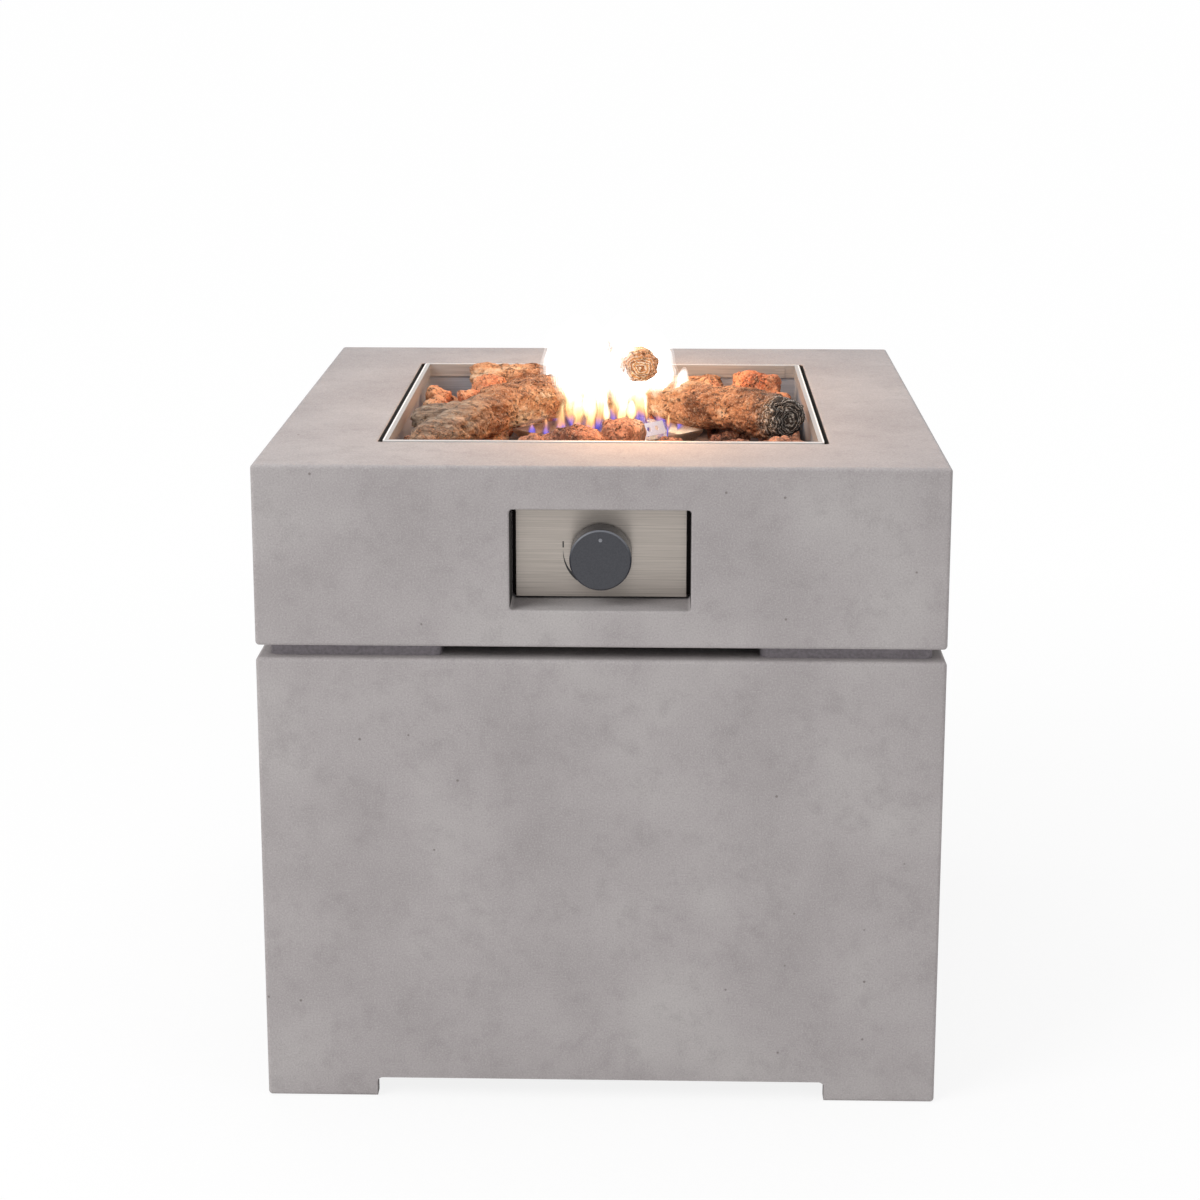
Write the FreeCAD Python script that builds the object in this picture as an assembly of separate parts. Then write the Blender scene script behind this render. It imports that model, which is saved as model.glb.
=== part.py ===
"""Square gas fire pit: two moulded concrete casings, a steel burner tray, ceramic logs and lava rock.

Millimetres. +Z is up and the floor is z = 0. The origin is the middle of the footprint, and the front,
with the control window, faces -Y. The upper casing carries the burner, the valve, the logs and the rock,
and lifts straight up off the lower casing, where the gas bottle stands.
"""
import FreeCAD
import Part
import math
import os

Vector = FreeCAD.Vector
X_AXIS = Vector(1, 0, 0)
Y_AXIS = Vector(0, 1, 0)
Z_AXIS = Vector(0, 0, 1)

# Both casings, moulded fibre concrete
PLAN = 600.0
CASING_WALL = 14.0
EDGE_RADIUS = 3.5

# Lower casing
BASE_HEIGHT = 412.0
BASE_DECK = 16.0
BOTTLE_MOUTH = 450.0
POST_SIZE = 50.0
FOOT_WIDTH = 99.0
ARCH_HEIGHT = 18.5
ARCH_RADIUS = 5.0

# Corner pads on the deck of the lower casing, which hold the shadow gap open
GAP_HEIGHT = 11.0
PAD_INSET = 11.5
PAD_LENGTH = 149.5
PAD_WIDTH = 45.0
PAD_END_RADIUS = 6.0

# Dowels that locate the upper casing
DOWEL_RADIUS = 6.0
DOWEL_INSET = 42.0
DOWEL_RISE = 24.0
DOWEL_CLEARANCE = 0.6
DOWEL_NOSE = 2.0
DOWEL_ROOM = 6.0

# Upper casing
TOP_HEIGHT = 161.0
TOP_BAND = 20.0
BOWL_MOUTH = 404.0
BOWL_CORNER_RADIUS = 4.0
SEAT_REACH = 22.0
SEAT_THICKNESS = 14.0
SEAT_LENGTH = 92.0
SCALLOP_RISE = 26.0
BOSS_SIZE = 62.0
BOSS_RADIUS = 8.0
RIB_THICKNESS = 8.0
RIB_DEPTH = 30.0
RIB_OFFSET = 135.0

# Control window and its moulded reveal
WINDOW_WIDTH = 156.5
WINDOW_HEIGHT = 89.3
WINDOW_DROP = 38.3
WINDOW_RADIUS = 3.0
REVEAL_DEPTH = 50.0
REVEAL_WALL = 14.0

# Folded control plate
SHEET = 1.5
PLATE_SETBACK = 39.0
PLATE_SIDE_GAP = 3.25
PLATE_END_GAP = 1.9
WING_WIDTH = 20.0
LIP_DEPTH = 9.0
PANEL_SCREW_SPACING = 54.0

# Tray and its folded rim
TRAY_DEPTH = 62.0
RIM_GAP = 4.0
RIM_HEIGHT = 13.0
FOLD_CLEARANCE = 0.3
TRAY_RADIUS = 3.0
TAB_WIDTH = 10.0
DRAIN_RADIUS = 3.0
DRAIN_OFFSET = 150.0

# Square burner dish, turned corner to the front
DISH_SIDE = 132.0
DISH_BASE_SIDE = 92.0
DISH_HEIGHT = 32.0
DISH_LIP = 3.0
PORT_PLATE_DROP = 9.0
PORT_RADIUS = 2.2
PORT_PITCH = 18.0
PORTS_PER_SIDE = 5

# Gas and air under the dish
NECK_RADIUS = 14.0
NECK_LENGTH = 18.0
LOCK_NUT_FLATS = 36.0
LOCK_NUT_HEIGHT = 8.0
MIXER_RADIUS = 11.2
MIXER_LENGTH = 64.0
AIR_WINDOW_WIDTH = 7.0
AIR_WINDOW_HEIGHT = 14.0
INJECTOR_RADIUS = 4.0
INJECTOR_HEIGHT = 8.0
INJECTOR_FLATS = 12.0
ELBOW_SIZE = 18.0
ELBOW_HEIGHT = 16.0
ELBOW_RADIUS = 2.0
PIPE_RADIUS = 4.0
PIPE_NUT_FLATS = 14.0
PIPE_NUT_LENGTH = 12.0
THREAD_CLEARANCE = 0.05

# Valve behind the plate
KNOB_DROP = 2.5
VALVE_WIDTH = 36.0
VALVE_LENGTH = 58.0
VALVE_HEIGHT = 24.0
FLANGE_WIDTH = 48.0
FLANGE_THICKNESS = 5.0
FLANGE_STEP = 2.0
CAST_RADIUS = 3.0
VALVE_SCREW_OFFSET = 19.0
OUTLET_OFFSET = 8.5
OUTLET_DROP = 5.0
SENSOR_OFFSET = 9.0
SENSOR_RISE = 2.0
SENSOR_BOSS_RADIUS = 7.0
SENSOR_BOSS_LENGTH = 12.0
INLET_SETBACK = 86.0
INLET_RADIUS = 6.6
INLET_LENGTH = 14.0
INLET_FLATS = 17.0
INLET_HEX_HEIGHT = 7.0
IGNITER_WIDTH = 16.0
IGNITER_LENGTH = 40.0
IGNITER_HEIGHT = 20.0
IGNITER_OFFSET = 34.0
IGNITER_RADIUS = 2.5

# Knob, spindle and push rod
KNOB_RADIUS = 27.0
KNOB_DEPTH = 25.0
KNOB_FRONT_SETBACK = 10.0
KNOB_WALL = 2.5
KNOB_FACE_THICKNESS = 4.0
KNOB_CHAMFER = 1.4
HUB_RADIUS = 8.0
SPINDLE_RADIUS = 4.0
SPINDLE_FLAT = 1.2
SPINDLE_LENGTH = 46.0
SPINDLE_HOLE_RADIUS = 6.5
POINTER_RADIUS = 1.6
POINTER_OFFSET = 18.0
POINTER_DEPTH = 1.0
PUSH_TRAVEL = 3.0
PUSH_ROD_RADIUS = 2.0
PUSH_ROD_LENGTH = 32.0
PUSH_HEAD_RADIUS = 3.6
PUSH_HEAD_LENGTH = 1.5
SPRING_LENGTH = 13.0
SPRING_RADIUS = 2.9
SPRING_WIRE = 0.8
SPRING_TURNS = 5
RUNNING_CLEARANCE = 0.05

# Screws
SCREW_RADIUS = 2.0
SCREW_HEAD_RADIUS = 3.6
SCREW_HEAD_HEIGHT = 2.2
PANEL_SCREW_LENGTH = 12.0
VALVE_SCREW_LENGTH = 9.0

# Flame sensor and spark electrode, behind a leaning guard with two round holes
GUARD_WIDTH = 31.0
GUARD_HEIGHT = 13.0
GUARD_LEAN = 28.0
GUARD_ALONG = 72.0
GUARD_INSET = 3.0
GUARD_RISE = 1.5
GUARD_HOLE_RADIUS = 2.6
GUARD_HOLE_PITCH = 10.5
PROBE_RADIUS = 2.2
CERAMIC_RADIUS = 2.8
PROBE_PITCH = 13.0
PROBE_INSET = 16.0
PROBE_RISE = 10.0
WIRE_RADIUS = 0.8
CAPILLARY_RADIUS = 1.2
LEAD_RADIUS = 1.8
LEAD_HOLE_CLEARANCE = 1.0
LEAD_DROP = 14.0
LEAD_RUN_IN = 26.0
LEAD_BEND = 16.0
SLEEVE_RISE = 8.0
WIRE_REACH = 5.0
WIRE_RISE = 9.0

# Rock and logs
REST_GAP = 0.3
WALL_GAP = 2.0
ROLL = 9.0
ROCK_LENGTH = 46.0
ROCK_WIDTH = 41.0
ROCK_HEIGHT = 34.0
ROCK_PITCH = 47.0
ROCK_SIDES = 8
ROCK_RINGS = 3
LOG_SIDES = 10

# Shares of a rock's or log's own size
ROCK_UNEVENNESS = 0.12
ROCK_TOP_UNEVENNESS = 0.15
ROCK_CROWN = 0.12
ROCK_SIZE_SPREAD = 0.06
ROCK_HEIGHT_SPREAD = 0.1
ROCK_SHIFT = 0.03
ROCK_TURN = 180.0          # largest turn of a rock in plan, either way, in degrees
ROCK_SQUARENESS = 0.8      # 1 makes the plan round, less makes it squarer
ROCK_FULLNESS = 0.7        # 1 makes the side view round, less makes it fuller
BED_CLEARANCE = 0.72       # how far a rock's middle keeps off the dish
LOG_UNEVENNESS = 0.07

CUT = 1.0            # how far a cutting solid runs past the face it cuts
ARC_SHARE = 0.45     # share of the shorter run that a bend takes

# Heights and half widths that follow from the sizes above
HALF_PLAN = PLAN / 2
PAD_TOP = BASE_HEIGHT + GAP_HEIGHT
TOP_FACE = PAD_TOP + TOP_HEIGHT
FRONT = -HALF_PLAN
SEAT_TOP = TOP_FACE - TRAY_DEPTH
SEAT_BOTTOM = SEAT_TOP - SEAT_THICKNESS
FLOOR_TOP = SEAT_TOP + SHEET
RIM_HALF = BOWL_MOUTH / 2 - RIM_GAP
RIM_INNER_HALF = RIM_HALF - 3 * SHEET - 2 * FOLD_CLEARANCE
TRAY_HALF = RIM_HALF - SHEET - FOLD_CLEARANCE
WINDOW_TOP = TOP_FACE - WINDOW_DROP
WINDOW_MIDDLE = WINDOW_TOP - WINDOW_HEIGHT / 2
REVEAL_BACK = FRONT + REVEAL_DEPTH
PLATE_FRONT = FRONT + PLATE_SETBACK
PLATE_BACK = PLATE_FRONT + SHEET
PLATE_WIDTH = WINDOW_WIDTH - 2 * PLATE_SIDE_GAP
PLATE_HEIGHT = WINDOW_HEIGHT - 2 * PLATE_END_GAP
KNOB_AXIS = WINDOW_MIDDLE - KNOB_DROP
KNOB_FRONT = FRONT + KNOB_FRONT_SETBACK
VALVE_BACK = PLATE_BACK + VALVE_LENGTH
VALVE_BOTTOM = KNOB_AXIS - VALVE_HEIGHT / 2
INLET_Y = FRONT + INLET_SETBACK
OUTLET_HEIGHT = KNOB_AXIS - OUTLET_DROP
DISH_RIM = FLOOR_TOP + DISH_HEIGHT
PORT_PLATE_TOP = DISH_RIM - PORT_PLATE_DROP
NECK_BOTTOM = SEAT_TOP - NECK_LENGTH
MIXER_BOTTOM = FLOOR_TOP - MIXER_LENGTH
ELBOW_TOP = MIXER_BOTTOM - INJECTOR_HEIGHT
ELBOW_AXIS = ELBOW_TOP - ELBOW_HEIGHT / 2
SPINDLE_FRONT = KNOB_FRONT + KNOB_FACE_THICKNESS
SPINDLE_BACK = SPINDLE_FRONT + SPINDLE_LENGTH
SPRING_BACK = SPINDLE_BACK + PUSH_HEAD_LENGTH + SPRING_LENGTH


# ---- plain shapes ----------------------------------------------------------------------------------

def block(low, high):
    """A box between two opposite corners."""
    size = [b - a for a, b in zip(low, high)]
    return Part.makeBox(size[0], size[1], size[2], Vector(*low))


def square_block(half, bottom, top, radius=0.0):
    """An upright block, square in plan about the Z axis, with its upright edges rounded."""
    solid = block((-half, -half, bottom), (half, half, top))
    if radius > 0:
        solid = solid.makeFillet(radius, edges_where(solid, is_upright))
    return solid


def is_upright(edge):
    return edge.BoundBox.XLength < 0.01 and edge.BoundBox.YLength < 0.01


def edges_where(shape, test):
    return [edge for edge in shape.Edges if test(edge)]


def rod(radius, start, direction, length):
    return Part.makeCylinder(radius, length, start, direction)


def hexagon(flats, start, direction, length):
    """A hexagonal bar, its distance across the flats given."""
    corner = flats / 2 / math.cos(math.pi / 6)
    points = []
    for step in range(7):
        angle = math.pi / 3 * step
        points.append(Vector(corner * math.cos(angle), corner * math.sin(angle), 0))
    bar = Part.Face(Part.makePolygon(points)).extrude(Vector(0, 0, length))
    bar.Placement = FreeCAD.Placement(start, FreeCAD.Rotation(Z_AXIS, direction))
    return bar


def turned(profile, start, direction):
    """A solid of revolution. The profile is (radius, height) points, height running along direction."""
    points = [Vector(radius, 0, height) for radius, height in profile]
    points.append(points[0])
    solid = Part.Face(Part.makePolygon(points)).revolve(Vector(), Z_AXIS, 360)
    solid.Placement = FreeCAD.Placement(start, FreeCAD.Rotation(Z_AXIS, direction))
    return solid


def joined(pieces):
    solid = pieces[0].fuse(pieces[1:]) if len(pieces) > 1 else pieces[0]
    return solid.removeSplitter()


def on_four_sides(shape):
    """The shape and its copies, turned to each side of the square."""
    copies = []
    for side in range(4):
        copy = shape.copy()
        copy.rotate(Vector(), Z_AXIS, 90 * side)
        copies.append(copy)
    return copies


def bent_wire(points):
    """Straight runs joined by tangent arcs, each as large as its two runs allow."""
    edges = []
    start = points[0]
    for before, corner, after in zip(points, points[1:], points[2:]):
        into = corner - before
        out = after - corner
        turn = into.getAngle(out)
        setback = ARC_SHARE * min(into.Length, out.Length)
        into.normalize()
        out.normalize()
        arc_start = corner - into * setback
        arc_end = corner + out * setback
        inward = out - into
        inward.normalize()
        radius = setback / math.tan(turn / 2)
        middle = corner + inward * radius * (1 / math.cos(turn / 2) - 1)
        edges.append(Part.LineSegment(start, arc_start).toShape())
        edges.append(Part.Arc(arc_start, middle, arc_end).toShape())
        start = arc_end
    edges.append(Part.LineSegment(start, points[-1]).toShape())
    return Part.Wire(edges)


def bent_tube(points, radius):
    """A round bar along a bent wire."""
    path = bent_wire(points)
    ring = Part.Wire([Part.makeCircle(radius, points[0], points[1] - points[0])])
    return path.makePipeShell([ring], True, False)


# ---- lower casing ----------------------------------------------------------------------------------

def foot_arch():
    """The cutter for the arch between the front feet."""
    half = HALF_PLAN - FOOT_WIDTH
    inner = FRONT + CASING_WALL + CUT
    cutter = block((-half, FRONT - CUT, -CUT - ARCH_RADIUS), (half, inner, ARCH_HEIGHT))

    def is_upper_corner(edge):
        box = edge.BoundBox
        return box.XLength < 0.01 and box.ZLength < 0.01 and box.ZMax > 0

    return cutter.makeFillet(ARCH_RADIUS, edges_where(cutter, is_upper_corner))


def corner_pads():
    """L-shaped pads, one in each corner of the deck, set back from the faces, with their dowel holes."""
    outer = HALF_PLAN - PAD_INSET
    end = outer - PAD_LENGTH
    inner = outer - PAD_WIDTH
    along_x = block((end, inner, BASE_HEIGHT), (outer, outer, PAD_TOP))
    along_y = block((inner, end, BASE_HEIGHT), (outer, outer, PAD_TOP))
    pad = joined([along_x, along_y])

    def is_outer_corner(edge):
        middle = edge.BoundBox.Center
        return is_upright(edge) and not (abs(middle.x - inner) < 0.1 and abs(middle.y - inner) < 0.1)

    pads = on_four_sides(pad.makeFillet(PAD_END_RADIUS, edges_where(pad, is_outer_corner)))
    holes = dowel_holes(DOWEL_RADIUS + THREAD_CLEARANCE, BASE_HEIGHT - CUT, PAD_TOP + CUT)
    return Part.makeCompound([pad.cut(holes) for pad in pads])


def corner_posts(size, radius, bottom, top):
    """Solid corners inside a casing, each with its inner edge rounded."""
    far = HALF_PLAN - CASING_WALL / 2
    near = HALF_PLAN - CASING_WALL - size
    post = block((near, near, bottom), (far, far, top))

    def is_inner_edge(edge):
        return is_upright(edge) and edge.BoundBox.Center.x < near + 1 and edge.BoundBox.Center.y < near + 1

    return on_four_sides(post.makeFillet(radius, edges_where(post, is_inner_edge)))


def dowel_holes(radius, bottom, top):
    place = HALF_PLAN - DOWEL_INSET
    return on_four_sides(rod(radius, Vector(place, place, bottom), Z_AXIS, top - bottom))


def soft_block(bottom, top):
    """The outside of a casing, with every edge softened as it comes from the mould."""
    solid = square_block(HALF_PLAN, bottom, top)
    return solid.makeFillet(EDGE_RADIUS, solid.Edges)


def base_casing():
    inner = HALF_PLAN - CASING_WALL
    deck_bottom = BASE_HEIGHT - BASE_DECK
    hollow = square_block(inner, -CUT, deck_bottom, EDGE_RADIUS)
    hollow = hollow.cut(corner_posts(POST_SIZE, BOSS_RADIUS, -2 * CUT, deck_bottom + CUT))
    casing = soft_block(0, BASE_HEIGHT).cut(hollow)
    casing = casing.cut(square_block(BOTTLE_MOUTH / 2, deck_bottom - CUT, BASE_HEIGHT + CUT, POST_SIZE / 2))
    casing = casing.cut(on_four_sides(foot_arch()))
    casing = casing.cut(dowel_holes(DOWEL_RADIUS + THREAD_CLEARANCE, deck_bottom, BASE_HEIGHT + CUT))
    return casing.removeSplitter()


def locating_dowels():
    bottom = BASE_HEIGHT - BASE_DECK
    length = PAD_TOP + DOWEL_RISE - bottom
    profile = [
        (0, 0),
        (DOWEL_RADIUS, 0),
        (DOWEL_RADIUS, length - DOWEL_NOSE),
        (DOWEL_RADIUS - DOWEL_NOSE, length),
        (0, length),
    ]
    place = HALF_PLAN - DOWEL_INSET
    return Part.makeCompound(on_four_sides(turned(profile, Vector(place, place, bottom), Z_AXIS)))


# ---- upper casing ----------------------------------------------------------------------------------

def window_block(grow, front, back, radius):
    """An upright block of the window's outline, grown by a margin."""
    half = WINDOW_WIDTH / 2 + grow
    low = WINDOW_TOP - WINDOW_HEIGHT - grow
    solid = block((-half, front, low), (half, back, WINDOW_TOP + grow))

    def runs_inwards(edge):
        return edge.BoundBox.XLength < 0.01 and edge.BoundBox.ZLength < 0.01

    return solid.makeFillet(radius, edges_where(solid, runs_inwards))


def stiffening_ribs():
    """Webs between the outer wall and the wall round the bowl, two to a side, sloping up to the outside."""
    bowl_wall = BOWL_MOUTH / 2 + CASING_WALL / 2
    outer_wall = HALF_PLAN - CASING_WALL / 2
    under_band = TOP_FACE - TOP_BAND + CUT
    corners = [
        Vector(0, bowl_wall, under_band),
        Vector(0, bowl_wall, under_band - RIB_DEPTH),
        Vector(0, outer_wall, under_band - RIB_DEPTH / 2),
        Vector(0, outer_wall, under_band),
        Vector(0, bowl_wall, under_band),
    ]
    web = Part.Face(Part.makePolygon(corners)).extrude(Vector(RIB_THICKNESS, 0, 0))
    ribs = []
    for centre in (-RIB_OFFSET, RIB_OFFSET):
        rib = web.copy()
        rib.translate(Vector(centre - RIB_THICKNESS / 2, 0, 0))
        ribs.extend(on_four_sides(rib))
    return ribs


def top_casing():
    inner = HALF_PLAN - CASING_WALL
    band_bottom = TOP_FACE - TOP_BAND
    mouth = BOWL_MOUTH / 2
    hollow = square_block(inner, PAD_TOP - CUT, band_bottom, EDGE_RADIUS)
    kept = [square_block(mouth + CASING_WALL, SEAT_BOTTOM, TOP_FACE, BOSS_RADIUS)]
    kept.append(window_block(REVEAL_WALL, FRONT + CASING_WALL / 2, REVEAL_BACK, WINDOW_RADIUS))
    kept.extend(corner_posts(BOSS_SIZE, BOSS_RADIUS, PAD_TOP - 2 * CUT, band_bottom + CUT))
    kept.extend(stiffening_ribs())
    casing = soft_block(PAD_TOP, TOP_FACE).cut(hollow.cut(kept))
    casing = casing.cut(square_block(mouth, SEAT_TOP, TOP_FACE + CUT, BOWL_CORNER_RADIUS))
    casing = casing.cut(square_block(mouth - SEAT_REACH, SEAT_BOTTOM - CUT, SEAT_TOP + CUT, BOSS_RADIUS))
    casing = casing.cut(on_four_sides(scallop())[:2])
    casing = casing.cut(window_block(0, FRONT - CUT, REVEAL_BACK + CUT, WINDOW_RADIUS))
    hole_top = PAD_TOP + DOWEL_RISE + DOWEL_ROOM
    casing = casing.cut(dowel_holes(DOWEL_RADIUS + DOWEL_CLEARANCE, PAD_TOP - CUT, hole_top))
    casing = casing.cut(panel_screw_holes())
    casing = casing.removeSplitter()

    def is_soft_mouth(edge):
        box = edge.BoundBox
        on_top = abs(box.ZMin - TOP_FACE) < 0.01 and abs(box.ZMax - TOP_FACE) < 0.01
        inside = max(abs(box.XMin), abs(box.XMax), abs(box.YMin), abs(box.YMax)) < mouth + 1
        on_front = abs(box.YMin - FRONT) < 0.01 and abs(box.YMax - FRONT) < 0.01
        in_window = max(abs(box.XMin), abs(box.XMax)) < WINDOW_WIDTH / 2 + 1
        return (on_top and inside) or (on_front and in_window)

    return casing.makeFillet(EDGE_RADIUS / 2, edges_where(casing, is_soft_mouth))


def scallop():
    """The cutter that opens the wall round the bowl under its middle and leaves a seat in each corner."""
    half = BOWL_MOUTH / 2 - SEAT_LENGTH
    reach = BOWL_MOUTH / 2 + CASING_WALL + CUT
    cutter = block((-half, -reach, SEAT_BOTTOM - CUT), (half, reach, SEAT_BOTTOM + SCALLOP_RISE))

    def is_upper_edge(edge):
        box = edge.BoundBox
        return box.XLength < 0.01 and box.ZLength < 0.01 and box.ZMax > SEAT_BOTTOM

    return cutter.makeFillet(BOSS_RADIUS, edges_where(cutter, is_upper_edge))


def panel_screw_places():
    """Where the four screws of the control plate meet the back of the reveal."""
    x = WINDOW_WIDTH / 2 + REVEAL_WALL / 2
    z = PANEL_SCREW_SPACING / 2
    return [(sx * x, WINDOW_MIDDLE + sz * z) for sx in (-1, 1) for sz in (-1, 1)]


def panel_screw_holes():
    hole = SCREW_RADIUS + THREAD_CLEARANCE
    start = REVEAL_BACK - PANEL_SCREW_LENGTH - THREAD_CLEARANCE
    length = PANEL_SCREW_LENGTH + CUT
    return [rod(hole, Vector(x, start, z), Y_AXIS, length) for x, z in panel_screw_places()]


# ---- tray ------------------------------------------------------------------------------------------

def tray_rim():
    """A folded trim over the tray's top edge: an upside-down U all round, with its joint strap."""
    bottom = TOP_FACE - RIM_HEIGHT
    rim = square_block(RIM_HALF, bottom, TOP_FACE, TRAY_RADIUS)
    rim = rim.cut(square_block(RIM_INNER_HALF, bottom - CUT, TOP_FACE + CUT))
    groove = square_block(RIM_HALF - SHEET, bottom - CUT, TOP_FACE - SHEET, TRAY_RADIUS - SHEET)
    groove = groove.cut(square_block(RIM_INNER_HALF + SHEET, bottom - 2 * CUT, TOP_FACE))
    strap_end = RIM_INNER_HALF - TAB_WIDTH
    strap = block(
        (strap_end - TAB_WIDTH, RIM_INNER_HALF - SHEET / 2, bottom),
        (strap_end, RIM_INNER_HALF, TOP_FACE),
    )
    return joined([rim.cut(groove), strap])


def burner_tray():
    """A folded pan with welded corners. Its floor stands on the seats in the casing."""
    top = TOP_FACE - SHEET - FOLD_CLEARANCE

    def is_upright_or_low(edge):
        return is_upright(edge) or edge.BoundBox.ZMax < SEAT_TOP + 2 * SHEET

    outside = square_block(TRAY_HALF, SEAT_TOP, top)
    outside = outside.makeFillet(TRAY_RADIUS, edges_where(outside, is_upright_or_low))
    inside = square_block(TRAY_HALF - SHEET, FLOOR_TOP, top + CUT)
    inside = inside.makeFillet(TRAY_RADIUS - SHEET, edges_where(inside, is_upright_or_low))
    tray = outside.cut(inside)
    start = SEAT_TOP - CUT
    through = SHEET + 2 * CUT
    holes = [rod(NECK_RADIUS + THREAD_CLEARANCE, Vector(0, 0, start), Z_AXIS, through)]
    holes.extend(probe_holes(start, through))
    drain = rod(DRAIN_RADIUS, Vector(DRAIN_OFFSET, DRAIN_OFFSET, start), Z_AXIS, through)
    side_drain = rod(DRAIN_RADIUS, Vector(DRAIN_OFFSET, 0, start), Z_AXIS, through)
    holes.extend(on_four_sides(drain))
    holes.extend(on_four_sides(side_drain))
    return tray.cut(holes)


# ---- burner ----------------------------------------------------------------------------------------

def diamond(side, height):
    """A square wire, turned corner to the front, at a height."""
    reach = side / math.sqrt(2)
    points = [Vector(reach, 0, height), Vector(0, reach, height), Vector(-reach, 0, height)]
    points.append(Vector(0, -reach, height))
    points.append(points[0])
    return Part.makePolygon(points)


def hopper(lower_side, lower_height, upper_side, upper_height):
    """A four-sided funnel shape between two squares."""
    wires = [diamond(lower_side, lower_height), diamond(upper_side, upper_height)]
    return Part.makeLoft(wires, True, True)


def burner_dish():
    """A folded square funnel with a turned-over lip, on a round threaded neck."""
    lip_bottom = DISH_RIM - DISH_LIP
    slope = (DISH_SIDE - DISH_BASE_SIDE) / (lip_bottom - FLOOR_TOP)
    wall = 2 * SHEET
    outside = hopper(DISH_BASE_SIDE, FLOOR_TOP, DISH_SIDE, lip_bottom)
    lip = hopper(DISH_SIDE, lip_bottom, DISH_SIDE, DISH_RIM)
    low_side = DISH_BASE_SIDE - wall + slope * SHEET
    high_side = DISH_SIDE - wall + slope * (DISH_LIP + CUT)
    inside = hopper(low_side, FLOOR_TOP + SHEET, high_side, DISH_RIM + CUT)
    neck = rod(NECK_RADIUS, Vector(0, 0, NECK_BOTTOM), Z_AXIS, FLOOR_TOP + SHEET - NECK_BOTTOM)
    bore = rod(MIXER_RADIUS + THREAD_CLEARANCE, Vector(0, 0, NECK_BOTTOM - CUT), Z_AXIS, DISH_HEIGHT * 2)
    dish = joined([outside, lip]).cut(inside)
    dish = joined([dish, neck]).cut([bore] + probe_holes(FLOOR_TOP - CUT, DISH_HEIGHT))
    return dish


def port_plate():
    """The ported plate that the flames stand on, held by the slope of the dish."""
    lip_bottom = DISH_RIM - DISH_LIP
    slope = (DISH_SIDE - DISH_BASE_SIDE) / (lip_bottom - FLOOR_TOP)
    wall = 2 * SHEET
    low = PORT_PLATE_TOP - SHEET
    low_side = DISH_BASE_SIDE - wall + slope * (low - FLOOR_TOP) - FOLD_CLEARANCE
    high_side = low_side + slope * SHEET
    plate = hopper(low_side, low, high_side, PORT_PLATE_TOP)
    start = -PORT_PITCH * (PORTS_PER_SIDE - 1) / 2
    holes = probe_holes(low - CUT, SHEET + 2 * CUT)
    for column in range(PORTS_PER_SIDE):
        for row in range(PORTS_PER_SIDE):
            hole = rod(
                PORT_RADIUS,
                Vector(start + PORT_PITCH * column, start + PORT_PITCH * row, low - CUT),
                Z_AXIS,
                SHEET + 2 * CUT,
            )
            hole.rotate(Vector(), Z_AXIS, 45)
            near_guard = any(hole.distToShape(other)[0] < SHEET for other in probe_holes(low - CUT, SHEET))
            if not near_guard:
                holes.append(hole)
    return plate.cut(holes)


def lock_nut():
    nut = hexagon(LOCK_NUT_FLATS, Vector(0, 0, SEAT_TOP - LOCK_NUT_HEIGHT), Z_AXIS, LOCK_NUT_HEIGHT)
    bore = rod(NECK_RADIUS + THREAD_CLEARANCE, Vector(0, 0, NECK_BOTTOM), Z_AXIS, NECK_LENGTH + CUT)
    return nut.cut(bore)


def mixer_tube():
    """The tube where gas and air mix, with four air windows near its foot."""
    wall = SHEET
    foot = MIXER_BOTTOM
    tube = rod(MIXER_RADIUS, Vector(0, 0, foot), Z_AXIS, MIXER_LENGTH)
    tube = tube.cut(rod(MIXER_RADIUS - wall, Vector(0, 0, foot + 2 * wall), Z_AXIS, MIXER_LENGTH))
    tube = tube.cut(rod(INJECTOR_RADIUS + THREAD_CLEARANCE, Vector(0, 0, foot - CUT), Z_AXIS, 4 * wall))
    window = block(
        (MIXER_RADIUS / 2, -AIR_WINDOW_WIDTH / 2, foot + 3 * wall),
        (MIXER_RADIUS + CUT, AIR_WINDOW_WIDTH / 2, foot + 3 * wall + AIR_WINDOW_HEIGHT),
    )
    return tube.cut(on_four_sides(window))


def injector():
    """The brass jet, screwed up into the foot of the mixer tube."""
    body = hexagon(INJECTOR_FLATS, Vector(0, 0, ELBOW_TOP), Z_AXIS, INJECTOR_HEIGHT)
    stem = rod(INJECTOR_RADIUS, Vector(0, 0, ELBOW_TOP), Z_AXIS, INJECTOR_HEIGHT + 3 * SHEET)
    return joined([body, stem])


def inlet_elbow():
    """The brass elbow under the jet, which takes the pipe from the front."""
    half = ELBOW_SIZE / 2
    solid = block((-half, -half, ELBOW_TOP - ELBOW_HEIGHT), (half, half, ELBOW_TOP))
    return solid.makeFillet(ELBOW_RADIUS, edges_where(solid, is_upright))


def pipe_route():
    """From the elbow forward and up to the valve's outlet."""
    elbow_front = -ELBOW_SIZE / 2
    run = VALVE_BACK - elbow_front
    return [
        Vector(0, elbow_front, ELBOW_AXIS),
        Vector(0, elbow_front + 0.38 * run, ELBOW_AXIS),
        Vector(-OUTLET_OFFSET, elbow_front + 0.68 * run, OUTLET_HEIGHT),
        Vector(-OUTLET_OFFSET, VALVE_BACK, OUTLET_HEIGHT),
    ]


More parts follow.
